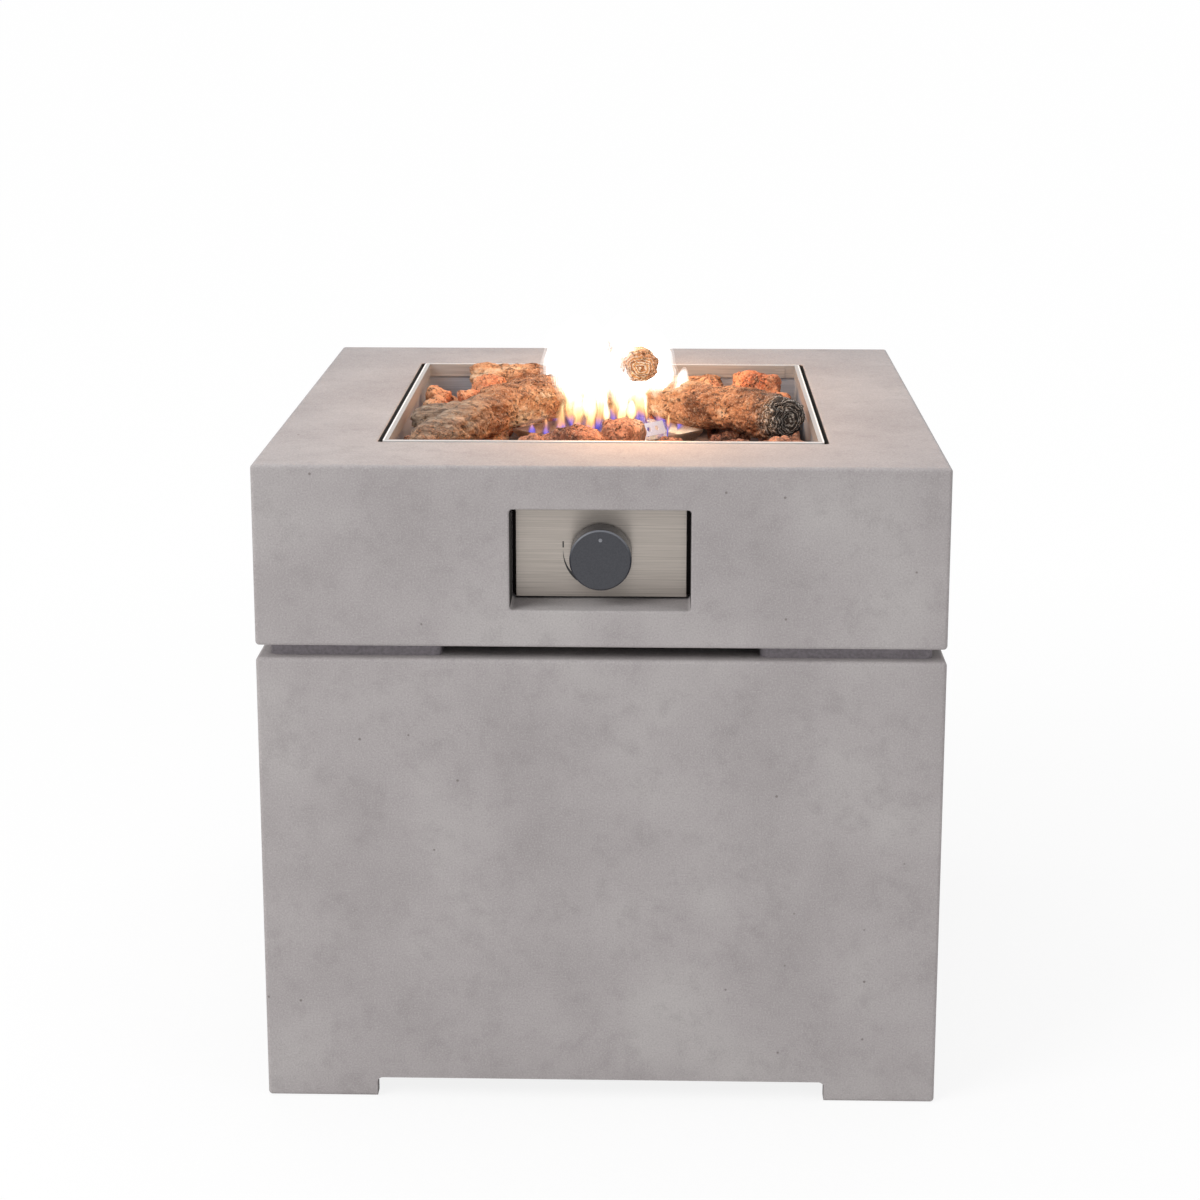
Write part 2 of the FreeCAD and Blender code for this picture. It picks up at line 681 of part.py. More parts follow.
def pipe_nuts():
    """A union nut at each end of the gas pipe."""
    bore = PIPE_RADIUS + THREAD_CLEARANCE
    nuts = []
    for start, direction in (
        (Vector(0, -ELBOW_SIZE / 2, ELBOW_AXIS), -Y_AXIS),
        (Vector(-OUTLET_OFFSET, VALVE_BACK, OUTLET_HEIGHT), Y_AXIS),
    ):
        nut = hexagon(PIPE_NUT_FLATS, start, direction, PIPE_NUT_LENGTH)
        nuts.append(nut.cut(rod(bore, start, direction, PIPE_NUT_LENGTH)))
    return Part.makeCompound(nuts)


# ---- guard, flame sensor and spark electrode -------------------------------------------------------

def dish_corner_frame(along, inset, height):
    """A point by the dish's front right side: how far from its front corner, and how far inside its rim."""
    reach = DISH_SIDE / math.sqrt(2)
    share = math.sqrt(0.5)
    x = along * share - inset * share
    y = -reach + along * share + inset * share
    return Vector(x, y, height)


def probe_places():
    """The electrode and the sensor stand behind the guard's two holes."""
    return [
        dish_corner_frame(GUARD_ALONG - PROBE_PITCH / 2, PROBE_INSET, 0),
        dish_corner_frame(GUARD_ALONG + PROBE_PITCH / 2, PROBE_INSET, 0),
    ]


def probe_holes(bottom, height):
    holes = []
    for place in probe_places():
        radius = CERAMIC_RADIUS + LEAD_HOLE_CLEARANCE / 2
        holes.append(rod(radius, Vector(place.x, place.y, bottom), Z_AXIS, height))
    return holes


def guard_plate():
    """A small bent plate that stands on the port plate, leans in over the probes and has two round holes."""
    bottom = DISH_RIM + GUARD_RISE
    half = GUARD_WIDTH / 2
    plate = block((-half, 0, 0), (half, SHEET, GUARD_HEIGHT))
    for side in (-1, 1):
        centre = Vector(side * GUARD_HOLE_PITCH / 2, -CUT, GUARD_HEIGHT / 2)
        plate = plate.cut(rod(GUARD_HOLE_RADIUS, centre, Y_AXIS, SHEET + 2 * CUT))
    plate.rotate(Vector(), X_AXIS, -GUARD_LEAN)
    legs = []
    for side in (-1, 1):
        inner = side * (half - 2 * SHEET)
        low = min(inner, side * half)
        leg = block((low, 0, PORT_PLATE_TOP - bottom), (low + 2 * SHEET, SHEET, SHEET * 0.9))
        legs.append(leg)
    guard = joined([plate] + legs)
    guard.rotate(Vector(), Z_AXIS, 45)
    guard.translate(dish_corner_frame(GUARD_ALONG, GUARD_INSET + DISH_LIP, bottom))
    return guard


def thermocouple():
    """The flame sensor: a steel probe, with its copper capillary run back to the valve in one piece."""
    place = probe_places()[0]
    bend = SEAT_TOP - LEAD_DROP
    tip = DISH_RIM + PROBE_RISE
    foot = bend + SLEEVE_RISE
    probe = rod(PROBE_RADIUS, Vector(place.x, place.y, foot), Z_AXIS, tip - foot)
    start = VALVE_BACK + SENSOR_BOSS_LENGTH
    route = [
        Vector(SENSOR_OFFSET, start, KNOB_AXIS + SENSOR_RISE),
        Vector(SENSOR_OFFSET, start + 0.4 * (place.y - start), KNOB_AXIS + SENSOR_RISE),
        Vector(place.x, place.y - LEAD_DROP, bend),
        Vector(place.x, place.y, foot + CUT),
    ]
    return joined([probe, bent_tube(route, CAPILLARY_RADIUS)])


def spark_electrode():
    """A ceramic sleeve with a bent wire at its tip."""
    place = probe_places()[1]
    bottom = SEAT_TOP - LEAD_DROP + SLEEVE_RISE
    top = DISH_RIM + PROBE_RISE / 2
    sleeve = rod(CERAMIC_RADIUS, Vector(place.x, place.y, bottom), Z_AXIS, top - bottom)
    wire = bent_tube(
        [
            Vector(place.x, place.y, top - CUT),
            Vector(place.x, place.y, top + WIRE_RISE - WIRE_REACH / 2),
            Vector(place.x - WIRE_REACH, place.y - WIRE_REACH, top + WIRE_RISE),
        ],
        WIRE_RADIUS,
    )
    return joined([sleeve, wire])


def ignition_lead():
    """The insulated lead from the igniter to the foot of the electrode."""
    place = probe_places()[1]
    start = PLATE_BACK + IGNITER_LENGTH
    bottom = SEAT_TOP - LEAD_DROP + SLEEVE_RISE
    return bent_tube(
        [
            Vector(IGNITER_OFFSET, start, KNOB_AXIS),
            Vector(IGNITER_OFFSET, start + 0.45 * (place.y - start), KNOB_AXIS),
            Vector(place.x, place.y - LEAD_RUN_IN, bottom - LEAD_BEND),
            Vector(place.x, place.y, bottom - LEAD_BEND),
            Vector(place.x, place.y, bottom),
        ],
        LEAD_RADIUS,
    )


# ---- control plate, valve and knob -----------------------------------------------------------------

def control_plate():
    """One folded sheet: the brushed front, side returns, wings that screw to the reveal, and two lips."""
    half = PLATE_WIDTH / 2
    low = WINDOW_MIDDLE - PLATE_HEIGHT / 2
    high = WINDOW_MIDDLE + PLATE_HEIGHT / 2
    wing_back = REVEAL_BACK + SHEET
    front = block((-half, PLATE_FRONT, low), (half, PLATE_BACK, high))
    pieces = [front]
    for side in (-1, 1):
        inner = side * (half - SHEET)
        outer = side * (half - SHEET + WING_WIDTH + PLATE_SIDE_GAP)
        wall_low = min(inner, side * half)
        pieces.append(block((wall_low, PLATE_FRONT, low), (wall_low + SHEET, wing_back, high)))
        pieces.append(block((min(inner, outer), REVEAL_BACK, low), (max(inner, outer), wing_back, high)))
    pieces.append(block((-half, PLATE_FRONT, low), (half, PLATE_FRONT + LIP_DEPTH, low + SHEET)))
    pieces.append(block((-half, PLATE_FRONT, high - SHEET), (half, PLATE_FRONT + LIP_DEPTH, high)))
    plate = joined(pieces)
    start = PLATE_FRONT - CUT
    through = SHEET + 2 * CUT
    holes = [rod(SPINDLE_HOLE_RADIUS, Vector(0, start, KNOB_AXIS), Y_AXIS, through)]
    for side in (-1, 1):
        place = Vector(side * VALVE_SCREW_OFFSET, start, KNOB_AXIS)
        holes.append(rod(SCREW_RADIUS + THREAD_CLEARANCE, place, Y_AXIS, through))
    for x, z in panel_screw_places():
        place = Vector(x, REVEAL_BACK - CUT, z)
        holes.append(rod(SCREW_RADIUS + THREAD_CLEARANCE, place, Y_AXIS, through))
    plate = plate.cut(holes)

    def is_front_edge(edge):
        box = edge.BoundBox
        return box.YMax < PLATE_FRONT + 0.01 and box.XLength + box.ZLength > PLATE_HEIGHT / 2

    return plate.makeFillet(SHEET / 3, edges_where(plate, is_front_edge))


def cap_screw(length):
    """A round-headed screw, its head on top of z = 0 and its shank below."""
    return turned(
        [
            (0, -length),
            (SCREW_RADIUS, -length),
            (SCREW_RADIUS, 0),
            (SCREW_HEAD_RADIUS, 0),
            (SCREW_HEAD_RADIUS, SCREW_HEAD_HEIGHT / 2),
            (SCREW_HEAD_RADIUS * 0.7, SCREW_HEAD_HEIGHT),
            (0, SCREW_HEAD_HEIGHT),
        ],
        Vector(),
        Z_AXIS,
    )


def placed_screws(length, places, direction):
    screws = []
    for place in places:
        screw = cap_screw(length)
        screw.Placement = FreeCAD.Placement(place, FreeCAD.Rotation(Z_AXIS, direction))
        screws.append(screw)
    return Part.makeCompound(screws)


def panel_screws():
    places = [Vector(x, REVEAL_BACK + SHEET, z) for x, z in panel_screw_places()]
    return placed_screws(PANEL_SCREW_LENGTH + SHEET, places, Y_AXIS)


def valve_screws():
    places = [Vector(side * VALVE_SCREW_OFFSET, PLATE_FRONT, KNOB_AXIS) for side in (-1, 1)]
    return placed_screws(VALVE_SCREW_LENGTH, places, -Y_AXIS)


def valve_body():
    """The die-cast tap: mounting flange, body, sensor boss at the back and two stepped bores."""
    half = VALVE_WIDTH / 2
    tall = VALVE_HEIGHT / 2
    body = block(
        (-half, PLATE_BACK, KNOB_AXIS - tall),
        (half, VALVE_BACK, KNOB_AXIS + tall),
    )

    def runs_back(edge):
        return edge.BoundBox.XLength < 0.01 and edge.BoundBox.ZLength < 0.01

    body = body.makeFillet(CAST_RADIUS, edges_where(body, runs_back))
    flange = block(
        (-FLANGE_WIDTH / 2, PLATE_BACK, KNOB_AXIS - tall + FLANGE_STEP),
        (FLANGE_WIDTH / 2, PLATE_BACK + FLANGE_THICKNESS, KNOB_AXIS + tall - FLANGE_STEP),
    )
    boss = rod(
        SENSOR_BOSS_RADIUS,
        Vector(SENSOR_OFFSET, VALVE_BACK - CUT, KNOB_AXIS + SENSOR_RISE),
        Y_AXIS,
        SENSOR_BOSS_LENGTH + CUT,
    )
    valve = joined([body, flange, boss])
    spindle_bore = SPINDLE_RADIUS + RUNNING_CLEARANCE
    rod_bore = PUSH_ROD_RADIUS + RUNNING_CLEARANCE
    rod_end = SPINDLE_BACK + PUSH_ROD_LENGTH + PUSH_TRAVEL + CUT
    holes = [
        rod(spindle_bore, Vector(0, PLATE_BACK - CUT, KNOB_AXIS), Y_AXIS, SPRING_BACK - PLATE_BACK + CUT),
        rod(rod_bore, Vector(0, SPRING_BACK - CUT, KNOB_AXIS), Y_AXIS, rod_end - SPRING_BACK + CUT),
    ]
    for side in (-1, 1):
        place = Vector(side * VALVE_SCREW_OFFSET, PLATE_BACK - CUT, KNOB_AXIS)
        holes.append(rod(SCREW_RADIUS + THREAD_CLEARANCE, place, Y_AXIS, VALVE_SCREW_LENGTH + CUT))
    return valve.cut(holes)


def gas_inlet():
    """The threaded inlet stub under the valve, which the bottle's hose screws on to from below."""
    top = VALVE_BOTTOM
    place = Vector(0, INLET_Y, top)
    hexagonal = hexagon(INLET_FLATS, place, -Z_AXIS, INLET_HEX_HEIGHT)
    stub = rod(INLET_RADIUS, place, -Z_AXIS, INLET_HEX_HEIGHT + INLET_LENGTH)
    return joined([hexagonal, stub])


def igniter():
    """The spark generator beside the valve."""
    half = IGNITER_WIDTH / 2
    tall = IGNITER_HEIGHT / 2
    solid = block(
        (IGNITER_OFFSET - half, PLATE_BACK, KNOB_AXIS - tall),
        (IGNITER_OFFSET + half, PLATE_BACK + IGNITER_LENGTH, KNOB_AXIS + tall),
    )
    return solid.makeFillet(IGNITER_RADIUS, solid.Edges)


def spindle():
    """The valve's turning spindle, with the flat that drives it at its front end."""
    solid = rod(SPINDLE_RADIUS, Vector(0, SPINDLE_FRONT, KNOB_AXIS), Y_AXIS, SPINDLE_LENGTH)
    return solid.cut(spindle_flat(SPINDLE_RADIUS - SPINDLE_FLAT))


def spindle_flat(distance):
    """The cutter for the spindle's flat, as long as the knob is deep."""
    reach = SPINDLE_RADIUS + CUT
    return block(
        (-reach, SPINDLE_FRONT - CUT, KNOB_AXIS - reach),
        (reach, KNOB_FRONT + KNOB_DEPTH, KNOB_AXIS - distance),
    )


def knob():
    """A hollow moulded knob with a hub on the spindle and six webs inside."""
    rim = KNOB_RADIUS - KNOB_WALL
    profile = [
        (0, 0),
        (KNOB_RADIUS - KNOB_CHAMFER, 0),
        (KNOB_RADIUS, KNOB_CHAMFER),
        (KNOB_RADIUS, KNOB_DEPTH),
        (rim, KNOB_DEPTH),
        (rim, KNOB_FACE_THICKNESS),
        (0, KNOB_FACE_THICKNESS),
    ]
    start = Vector(0, KNOB_FRONT, KNOB_AXIS)
    shell = turned(profile, start, Y_AXIS)
    hub = rod(HUB_RADIUS, start, Y_AXIS, KNOB_DEPTH)
    web = block(
        (HUB_RADIUS / 2, KNOB_FRONT + CUT, KNOB_AXIS - SHEET / 2),
        (rim + CUT, KNOB_FRONT + KNOB_DEPTH / 2, KNOB_AXIS + SHEET / 2),
    )
    webs = []
    for step in range(6):
        copy = web.copy()
        copy.rotate(start, Y_AXIS, 60 * step)
        webs.append(copy)
    solid = joined([shell, hub] + webs)
    fit = RUNNING_CLEARANCE
    bore = rod(SPINDLE_RADIUS + fit, Vector(0, SPINDLE_FRONT, KNOB_AXIS), Y_AXIS, KNOB_DEPTH + CUT)
    bore = bore.cut(spindle_flat(SPINDLE_RADIUS - SPINDLE_FLAT + fit))
    seat = rod(
        POINTER_RADIUS + fit,
        Vector(0, KNOB_FRONT - CUT, KNOB_AXIS + POINTER_OFFSET),
        Y_AXIS,
        POINTER_DEPTH + CUT,
    )
    return solid.cut([bore, seat])


def knob_pointer():
    """The pale inlaid dot that shows where the knob stands."""
    return rod(POINTER_RADIUS, Vector(0, KNOB_FRONT, KNOB_AXIS + POINTER_OFFSET), Y_AXIS, POINTER_DEPTH)


def push_rod():
    """The rod that the spindle pushes back on to the safety magnet. It slides and doesn't turn."""
    profile = [
        (0, 0),
        (PUSH_HEAD_RADIUS, 0),
        (PUSH_HEAD_RADIUS, PUSH_HEAD_LENGTH),
        (PUSH_ROD_RADIUS, PUSH_HEAD_LENGTH),
        (PUSH_ROD_RADIUS, PUSH_ROD_LENGTH),
        (0, PUSH_ROD_LENGTH),
    ]
    return turned(profile, Vector(0, SPINDLE_BACK, KNOB_AXIS), Y_AXIS)


def return_spring():
    """The coil round the push rod, between its head and the step in the valve's bore."""
    per_turn = 10
    half = SPRING_WIRE / 2
    start = SPINDLE_BACK + PUSH_HEAD_LENGTH + half + THREAD_CLEARANCE
    travel = SPRING_LENGTH - SPRING_WIRE - 2 * THREAD_CLEARANCE
    count = per_turn * SPRING_TURNS
    rings = []
    for step in range(count + 1):
        angle = 2 * math.pi * step / per_turn
        y = start + travel * step / count
        ring = []
        for outward, forward in ((half, 0), (0, half), (-half, 0), (0, -half)):
            radius = SPRING_RADIUS + outward
            ring.append((radius * math.cos(angle), y + forward, KNOB_AXIS + radius * math.sin(angle)))
        rings.append(ring)
    return as_solid(skinned(rings))


# ---- faceted lumps: rock and logs ------------------------------------------------------------------

def skinned(rings):
    """Points and triangles of a closed skin over rings of points, each end closed by a fan."""
    sides = len(rings[0])
    points = [point for ring in rings for point in ring]
    triangles = []
    for level in range(len(rings) - 1):
        for side in range(sides):
            a = level * sides + side
            b = level * sides + (side + 1) % sides
            c = a + sides
            d = b + sides
            triangles.append((a, b, d))
            triangles.append((a, d, c))
    for level, flipped in ((0, True), (len(rings) - 1, False)):
        ring = rings[level]
        middle = tuple(sum(point[axis] for point in ring) / sides for axis in range(3))
        points.append(middle)
        for side in range(sides):
            a = level * sides + side
            b = level * sides + (side + 1) % sides
            triangles.append((b, a, len(points) - 1) if flipped else (a, b, len(points) - 1))
    return points, triangles


def as_solid(mesh):
    points, triangles = mesh
    shape = Part.Shape()
    shape.makeShapeFromMesh(([Vector(*point) for point in points], triangles), 0.001)
    solid = Part.makeSolid(Part.Shell(shape.Faces))
    if solid.Volume < 0:
        solid.reverse()
    return solid


def scatter(*keys):
    """A repeatable number between -1 and 1 for a set of keys."""
    total = sum(key * factor for key, factor in zip(keys, (12.9898, 78.233, 37.719, 4.581)))
    value = math.sin(total) * 43758.5453
    return 2 * (value - math.floor(value)) - 1


def rock(x, y, length, width, height, turn, seed):
    """One lump of lava rock, standing on z = 0: a squarish ball, uneven all over and flatter underneath."""
    rings = []
    heading = math.radians(turn)
    for level in range(ROCK_RINGS):
        polar = math.pi * (level + 1) / (ROCK_RINGS + 1)
        ring = []
        for side in range(ROCK_SIDES):
            angle = 2 * math.pi * (side + 0.5 * (level % 2)) / ROCK_SIDES
            swell = 1 + ROCK_UNEVENNESS * scatter(seed, side, level)
            across = math.copysign(abs(math.cos(angle)) ** ROCK_SQUARENESS, math.cos(angle))
            deep = math.copysign(abs(math.sin(angle)) ** ROCK_SQUARENESS, math.sin(angle))
            waist = math.sin(polar) ** ROCK_FULLNESS
            px = length / 2 * waist * across * swell
            py = width / 2 * waist * deep * swell
            hump = 1 + ROCK_TOP_UNEVENNESS * scatter(seed, level, side + 9)
            pz = -height / 2 * math.cos(polar) * hump
            ring.append((
                x + px * math.cos(heading) - py * math.sin(heading),
                y + px * math.sin(heading) + py * math.cos(heading),
                height / 2 + pz,
            ))
        rings.append(ring)
    points, triangles = skinned(rings)
    for index, sign in ((-2, -1), (-1, 1)):
        px, py, pz = points[index]
        points[index] = (px, py, pz + sign * height * ROCK_CROWN)
    return points, triangles


def moved(mesh, lift):
    """The mesh with each point raised by lift(x, y)."""
    points, triangles = mesh
    return [(x, y, z + lift(x, y)) for x, y, z in points], triangles


def shifted(mesh, x_shift, y_shift, z_shift):
    points, triangles = mesh
    return [(x + x_shift, y + y_shift, z + z_shift) for x, y, z in points], triangles


def roll_steps():
    """How far a rock may roll sideways to lie lower: not at all first, then in two widening circles."""
    steps = [(0.0, 0.0)]
    for reach in (ROLL / 2, ROLL):
        for turn in range(8):
            angle = math.pi / 4 * turn
            steps.append((reach * math.cos(angle), reach * math.sin(angle)))
    return steps


def faces(mesh, upward):
    """The triangles that face up, or those that face down, with their corner points and plan boxes."""
    points, triangles = mesh
    found = []
    for a, b, c in triangles:
        p, q, r = points[a], points[b], points[c]
        normal_z = (q[0] - p[0]) * (r[1] - p[1]) - (q[1] - p[1]) * (r[0] - p[0])
        if (normal_z > 1e-6) == upward and abs(normal_z) > 1e-6:
            xs = (p[0], q[0], r[0])
            ys = (p[1], q[1], r[1])
            found.append(((p, q, r), min(xs), max(xs), min(ys), max(ys)))
    return found


def height_on(triangle, x, y):
    p, q, r = triangle
    ux, uy, uz = q[0] - p[0], q[1] - p[1], q[2] - p[2]
    vx, vy, vz = r[0] - p[0], r[1] - p[1], r[2] - p[2]
    spread = ux * vy - uy * vx
    along_u = ((x - p[0]) * vy - (y - p[1]) * vx) / spread
    along_v = (ux * (y - p[1]) - uy * (x - p[0])) / spread
    return p[2] + along_u * uz + along_v * vz


def shared_outline(first, second):
    """The plan outline that two triangles share."""
    outline = [(point[0], point[1]) for point in first]
    ring = [(point[0], point[1]) for point in second]
    area = (ring[1][0] - ring[0][0]) * (ring[2][1] - ring[0][1])
    area -= (ring[1][1] - ring[0][1]) * (ring[2][0] - ring[0][0])
    if area < 0:
        ring.reverse()
    for index in range(3):
        ax, ay = ring[index]
        bx, by = ring[(index + 1) % 3]
        kept = []
        for here, there in zip(outline, outline[1:] + outline[:1]):
            side_here = (bx - ax) * (here[1] - ay) - (by - ay) * (here[0] - ax)
            side_there = (bx - ax) * (there[1] - ay) - (by - ay) * (there[0] - ax)
            if side_here >= 0:
                kept.append(here)
            if side_here * side_there < 0:
                share = side_here / (side_here - side_there)
                kept.append((here[0] + share * (there[0] - here[0]), here[1] + share * (there[1] - here[1])))
        outline = kept
        if len(outline) < 3:
            return []
    return outline


def drop_height(undersides, topsides):
    """How far one set of faces can fall before it meets another below it."""
    room = math.inf
    for over, x0, x1, y0, y1 in undersides:
        for under, u0, u1, v0, v1 in topsides:
            if x1 < u0 or u1 < x0 or y1 < v0 or v1 < y0:
                continue
            for x, y in shared_outline(over, under):
                room = min(room, height_on(over, x, y) - height_on(under, x, y))
    return room


def plan_box(mesh):
    xs = [point[0] for point in mesh[0]]
    ys = [point[1] for point in mesh[0]]
    return min(xs), max(xs), min(ys), max(ys)


def overlapping(first, second):
    a0, a1, b0, b1 = first
    c0, c1, d0, d1 = second
    return a0 < c1 and c0 < a1 and b0 < d1 and d0 < b1


class Heap:
    """What already lies in the tray: each new lump is let down on to it."""

    def __init__(self, fixed):
        self.boxes = [plan_box(mesh) for mesh in fixed]
        self.topsides = [faces(mesh, True) for mesh in fixed]

    def room_under(self, mesh, undersides):
        """How far a mesh can fall before it meets the heap or the tray's floor."""
        room = min(z for _, _, z in mesh[0]) - FLOOR_TOP
        box = plan_box(mesh)
        for other, topside in zip(self.boxes, self.topsides):
            if overlapping(box, other):
                room = min(room, drop_height(undersides, topside))
        return room

    def add(self, mesh):
        self.boxes.append(plan_box(mesh))
        self.topsides.append(faces(mesh, True))

    def drop(self, mesh):
        """Lets a lump roll to the lowest place close by, falls it straight down there and keeps it."""
        best = None
        for shift_x, shift_y in roll_steps():
            lifted = shifted(mesh, shift_x, shift_y, TOP_FACE)
            if max(abs(edge) for edge in plan_box(lifted)) > RIM_INNER_HALF - WALL_GAP:
                continue
            room = self.room_under(lifted, faces(lifted, False))
            if best is None or room > best[0] + REST_GAP:
                best = (room, lifted)
        if best is None:
            raise ValueError("a rock doesn't fit inside the tray's rim")
        settled = shifted(best[1], 0, 0, REST_GAP - best[0])
        self.add(settled)
        return settled

    def lay(self, meshes, start, end):
        """Lets a log down at both ends until each half rests, and keeps it."""
        along = (end[0] - start[0], end[1] - start[1])
        length_squared = along[0] ** 2 + along[1] ** 2

        def share(x, y):
            return ((x - start[0]) * along[0] + (y - start[1]) * along[1]) / length_squared

        drops = [0.0, 0.0]
        for _ in range(6):
            rooms = []
            tilted = [moved(mesh, lambda x, y: tilt(drops, share(x, y))) for mesh in meshes]
            for half in (0, 1):
                room = math.inf
                for mesh in tilted:
                    part = [face for face in faces(mesh, False) if is_in_half(face, share, half)]
                    if part:
                        room = min(room, self.room_under(mesh, part))
                rooms.append(room)
            drops = [drops[half] + REST_GAP - rooms[half] for half in (0, 1)]
        tilted = [moved(mesh, lambda x, y: tilt(drops, share(x, y))) for mesh in meshes]
        worst = min(self.room_under(mesh, faces(mesh, False)) for mesh in tilted)
        settled = [moved(mesh, lambda x, y: REST_GAP - worst) for mesh in tilted]
        for mesh in settled:
            self.add(mesh)
        return settled


def tilt(drops, share):
    return drops[0] + (drops[1] - drops[0]) * share


def is_in_half(face, share, half):
    middle_x = sum(point[0] for point in face[0]) / 3
    middle_y = sum(point[1] for point in face[0]) / 3
    return (share(middle_x, middle_y) >= 0.5) == (half == 1)


def log_skin(stations, seed):
    """A log along stations of (x, y, z, radius), with uneven bark and the arrises of its ends eased."""
    rings = []
    last = len(stations) - 1
    for index, (x, y, z, radius) in enumerate(stations):
        before = Vector(*stations[max(index - 1, 0)][:3])
        after = Vector(*stations[min(index + 1, last)][:3])
        heading = (after - before).normalize()
        sideways = Z_AXIS.cross(heading).normalize()
        upward = heading.cross(sideways)
        ring = []
        for side in range(LOG_SIDES):
            angle = 2 * math.pi * side / LOG_SIDES
            swell = radius * (1 + LOG_UNEVENNESS * scatter(seed, side, index))
            point = Vector(x, y, z) + sideways * swell * math.cos(angle) + upward * swell * math.sin(angle)
            ring.append((point.x, point.y, point.z))
        rings.append(ring)
    return skinned(rings)


# Second layer of rock, laid by hand: x, y, length, width, height, turn
BACK_LEFT_ROCKS = [
    (-174, 62, 29, 28, 22, 20),
    (-174, 112, 31, 28, 25, 75),
    (-150, 112, 28, 26, 28, 40),
    (-154, 36, 24, 22, 12, 100),
    (-124, 124, 40, 34, 29, 10),
    (-92, 112, 36, 32, 22, 160),
    (-64, 132, 30, 28, 16, 30),
    (-172, 0, 26, 24, 14, 100),
]
BACK_RIGHT_ROCKS = [
    (64, 124, 36, 32, 28, 30),
    (94, 140, 36, 32, 32, 80),
    (122, 112, 52, 36, 29, 10),
    (158, 146, 56, 42, 40, 165),
    (170, 72, 40, 30, 19, 80),
    (176, 112, 24, 24, 22, 60),
]
FRONT_ROCKS = [
    (-68, -146, 34, 30, 34, 15),
    (-94, -166, 30, 24, 28, 50),
    (-26, -130, 52, 38, 36, 175),
    (20, -122, 46, 38, 38, 20),
    (-48, -104, 40, 26, 28, 150),
    (68, -168, 36, 26, 29, 35),
    (120, -164, 34, 30, 31, 140),
    (156, -166, 44, 34, 32, 10),
    (-176, -100, 24, 22, 18, 110),
    (176, -124, 24, 22, 22, 100),
]

# Logs before they are let down: x, y, z, radius along each one
FORKED_LOG = [
    (4, 70, 640, 13),
    (-1, 67, 640, 18),
    (-30, 48, 640, 20),
    (-60, 27, 640, 21),
    (-88, -1, 639, 22),
    (-106, -32, 638, 22),
    (-124, -66, 636, 20),
    (-142, -100, 634, 18),
    (-160, -130, 632, 15.5),
    (-169, -145, 631, 12.5),
    (-172, -150, 631, 8),
]
FORKED_ARM = [
    (-98, -22, 638, 15),
    (-122, -46, 637, 15),
    (-148, -56, 636, 14.5),
    (-168, -60, 635, 13),
    (-178, -62, 635, 11),
    (-182, -62, 635, 7),
]
FRONT_RIGHT_LOG = [
    (42, 56, 640, 10),
    (47, 52, 640, 16.5),
    (62, 38, 640, 20.5),
    (86, 14, 640, 22),
    (112, -12, 640, 22.5),
    (138, -36, 640, 22),
    (159, -56, 640, 21),
    (170, -70, 640, 19),
    (173, -75, 640, 17),
]
BACK_LEFT_LOG = [
    (-146, 174, 640, 8),
    (-141, 173, 640, 12),
    (-110, 170, 640, 14),
    (-72, 164, 640, 14.5),
    (-34, 155, 640, 14.5),
    (-6, 145, 640, 13.5),
    (-1, 143, 640, 10),
]
BACK_RIGHT_LOG = [
    (2, 158, 700, 8),
    (6, 159, 700, 11),
    (32, 163, 700, 12),
    (60, 168, 700, 12),
    (88, 172, 700, 11.5),
    (110, 175, 700, 10.5),
    (114, 176, 700, 7),
]
TOP_LOG = [
    (33, 12, 700, 14),
    (32, 16, 700, 16.5),
    (20, 38, 700, 17),
    (4, 68, 700, 17),
    (-12, 98, 700, 16),
    (-28, 128, 700, 15),
    (-35, 141, 700, 14),
    (-37, 145, 700, 11),
]


def dish_skin():
    """The dish as triangles, for letting rock and logs down on to it."""
    reach = DISH_SIDE / math.sqrt(2)
    base = DISH_BASE_SIDE / math.sqrt(2)
    rings = []
    for size, height in ((base, FLOOR_TOP), (reach, DISH_RIM - DISH_LIP), (reach, DISH_RIM)):
        rings.append([(size, 0, height), (0, size, height), (-size, 0, height), (0, -size, height)])
    return skinned(rings)


def guard_skin():
    """An upright prism round the guard and the probes, which rock and logs keep clear of."""
    foot = dish_corner_frame(GUARD_ALONG, GUARD_INSET, FLOOR_TOP)
    half = GUARD_WIDTH / 2
    along = half * math.sqrt(0.5)
    deep = (PROBE_INSET + CERAMIC_RADIUS) * math.sqrt(0.5)
    top = DISH_RIM + GUARD_RISE + GUARD_HEIGHT
    corners = [
        (foot.x - along, foot.y - along),
        (foot.x + along, foot.y + along),
        (foot.x + along - deep, foot.y + along + deep),
        (foot.x - along - deep, foot.y - along + deep),
    ]
    return skinned([[(x, y, height) for x, y in corners] for height in (FLOOR_TOP, top)])


def bed_places():
    """Where the first layer of rock lies: a loose grid over the floor that leaves the dish free."""
    limit = RIM_INNER_HALF - WALL_GAP - ROCK_LENGTH / 2
    count = int(2 * limit / ROCK_PITCH) + 1
    pitch = 2 * limit / (count - 1)
    dish_reach = DISH_SIDE / math.sqrt(2)
    places = []
    for row in range(count):
        for column in range(count):
            x = -limit + pitch * column
            y = -limit + pitch * row
            outside = abs(x) + abs(y) - dish_reach
            if outside > ROCK_LENGTH * BED_CLEARANCE:
                places.append((x, y, row, column))
    return places


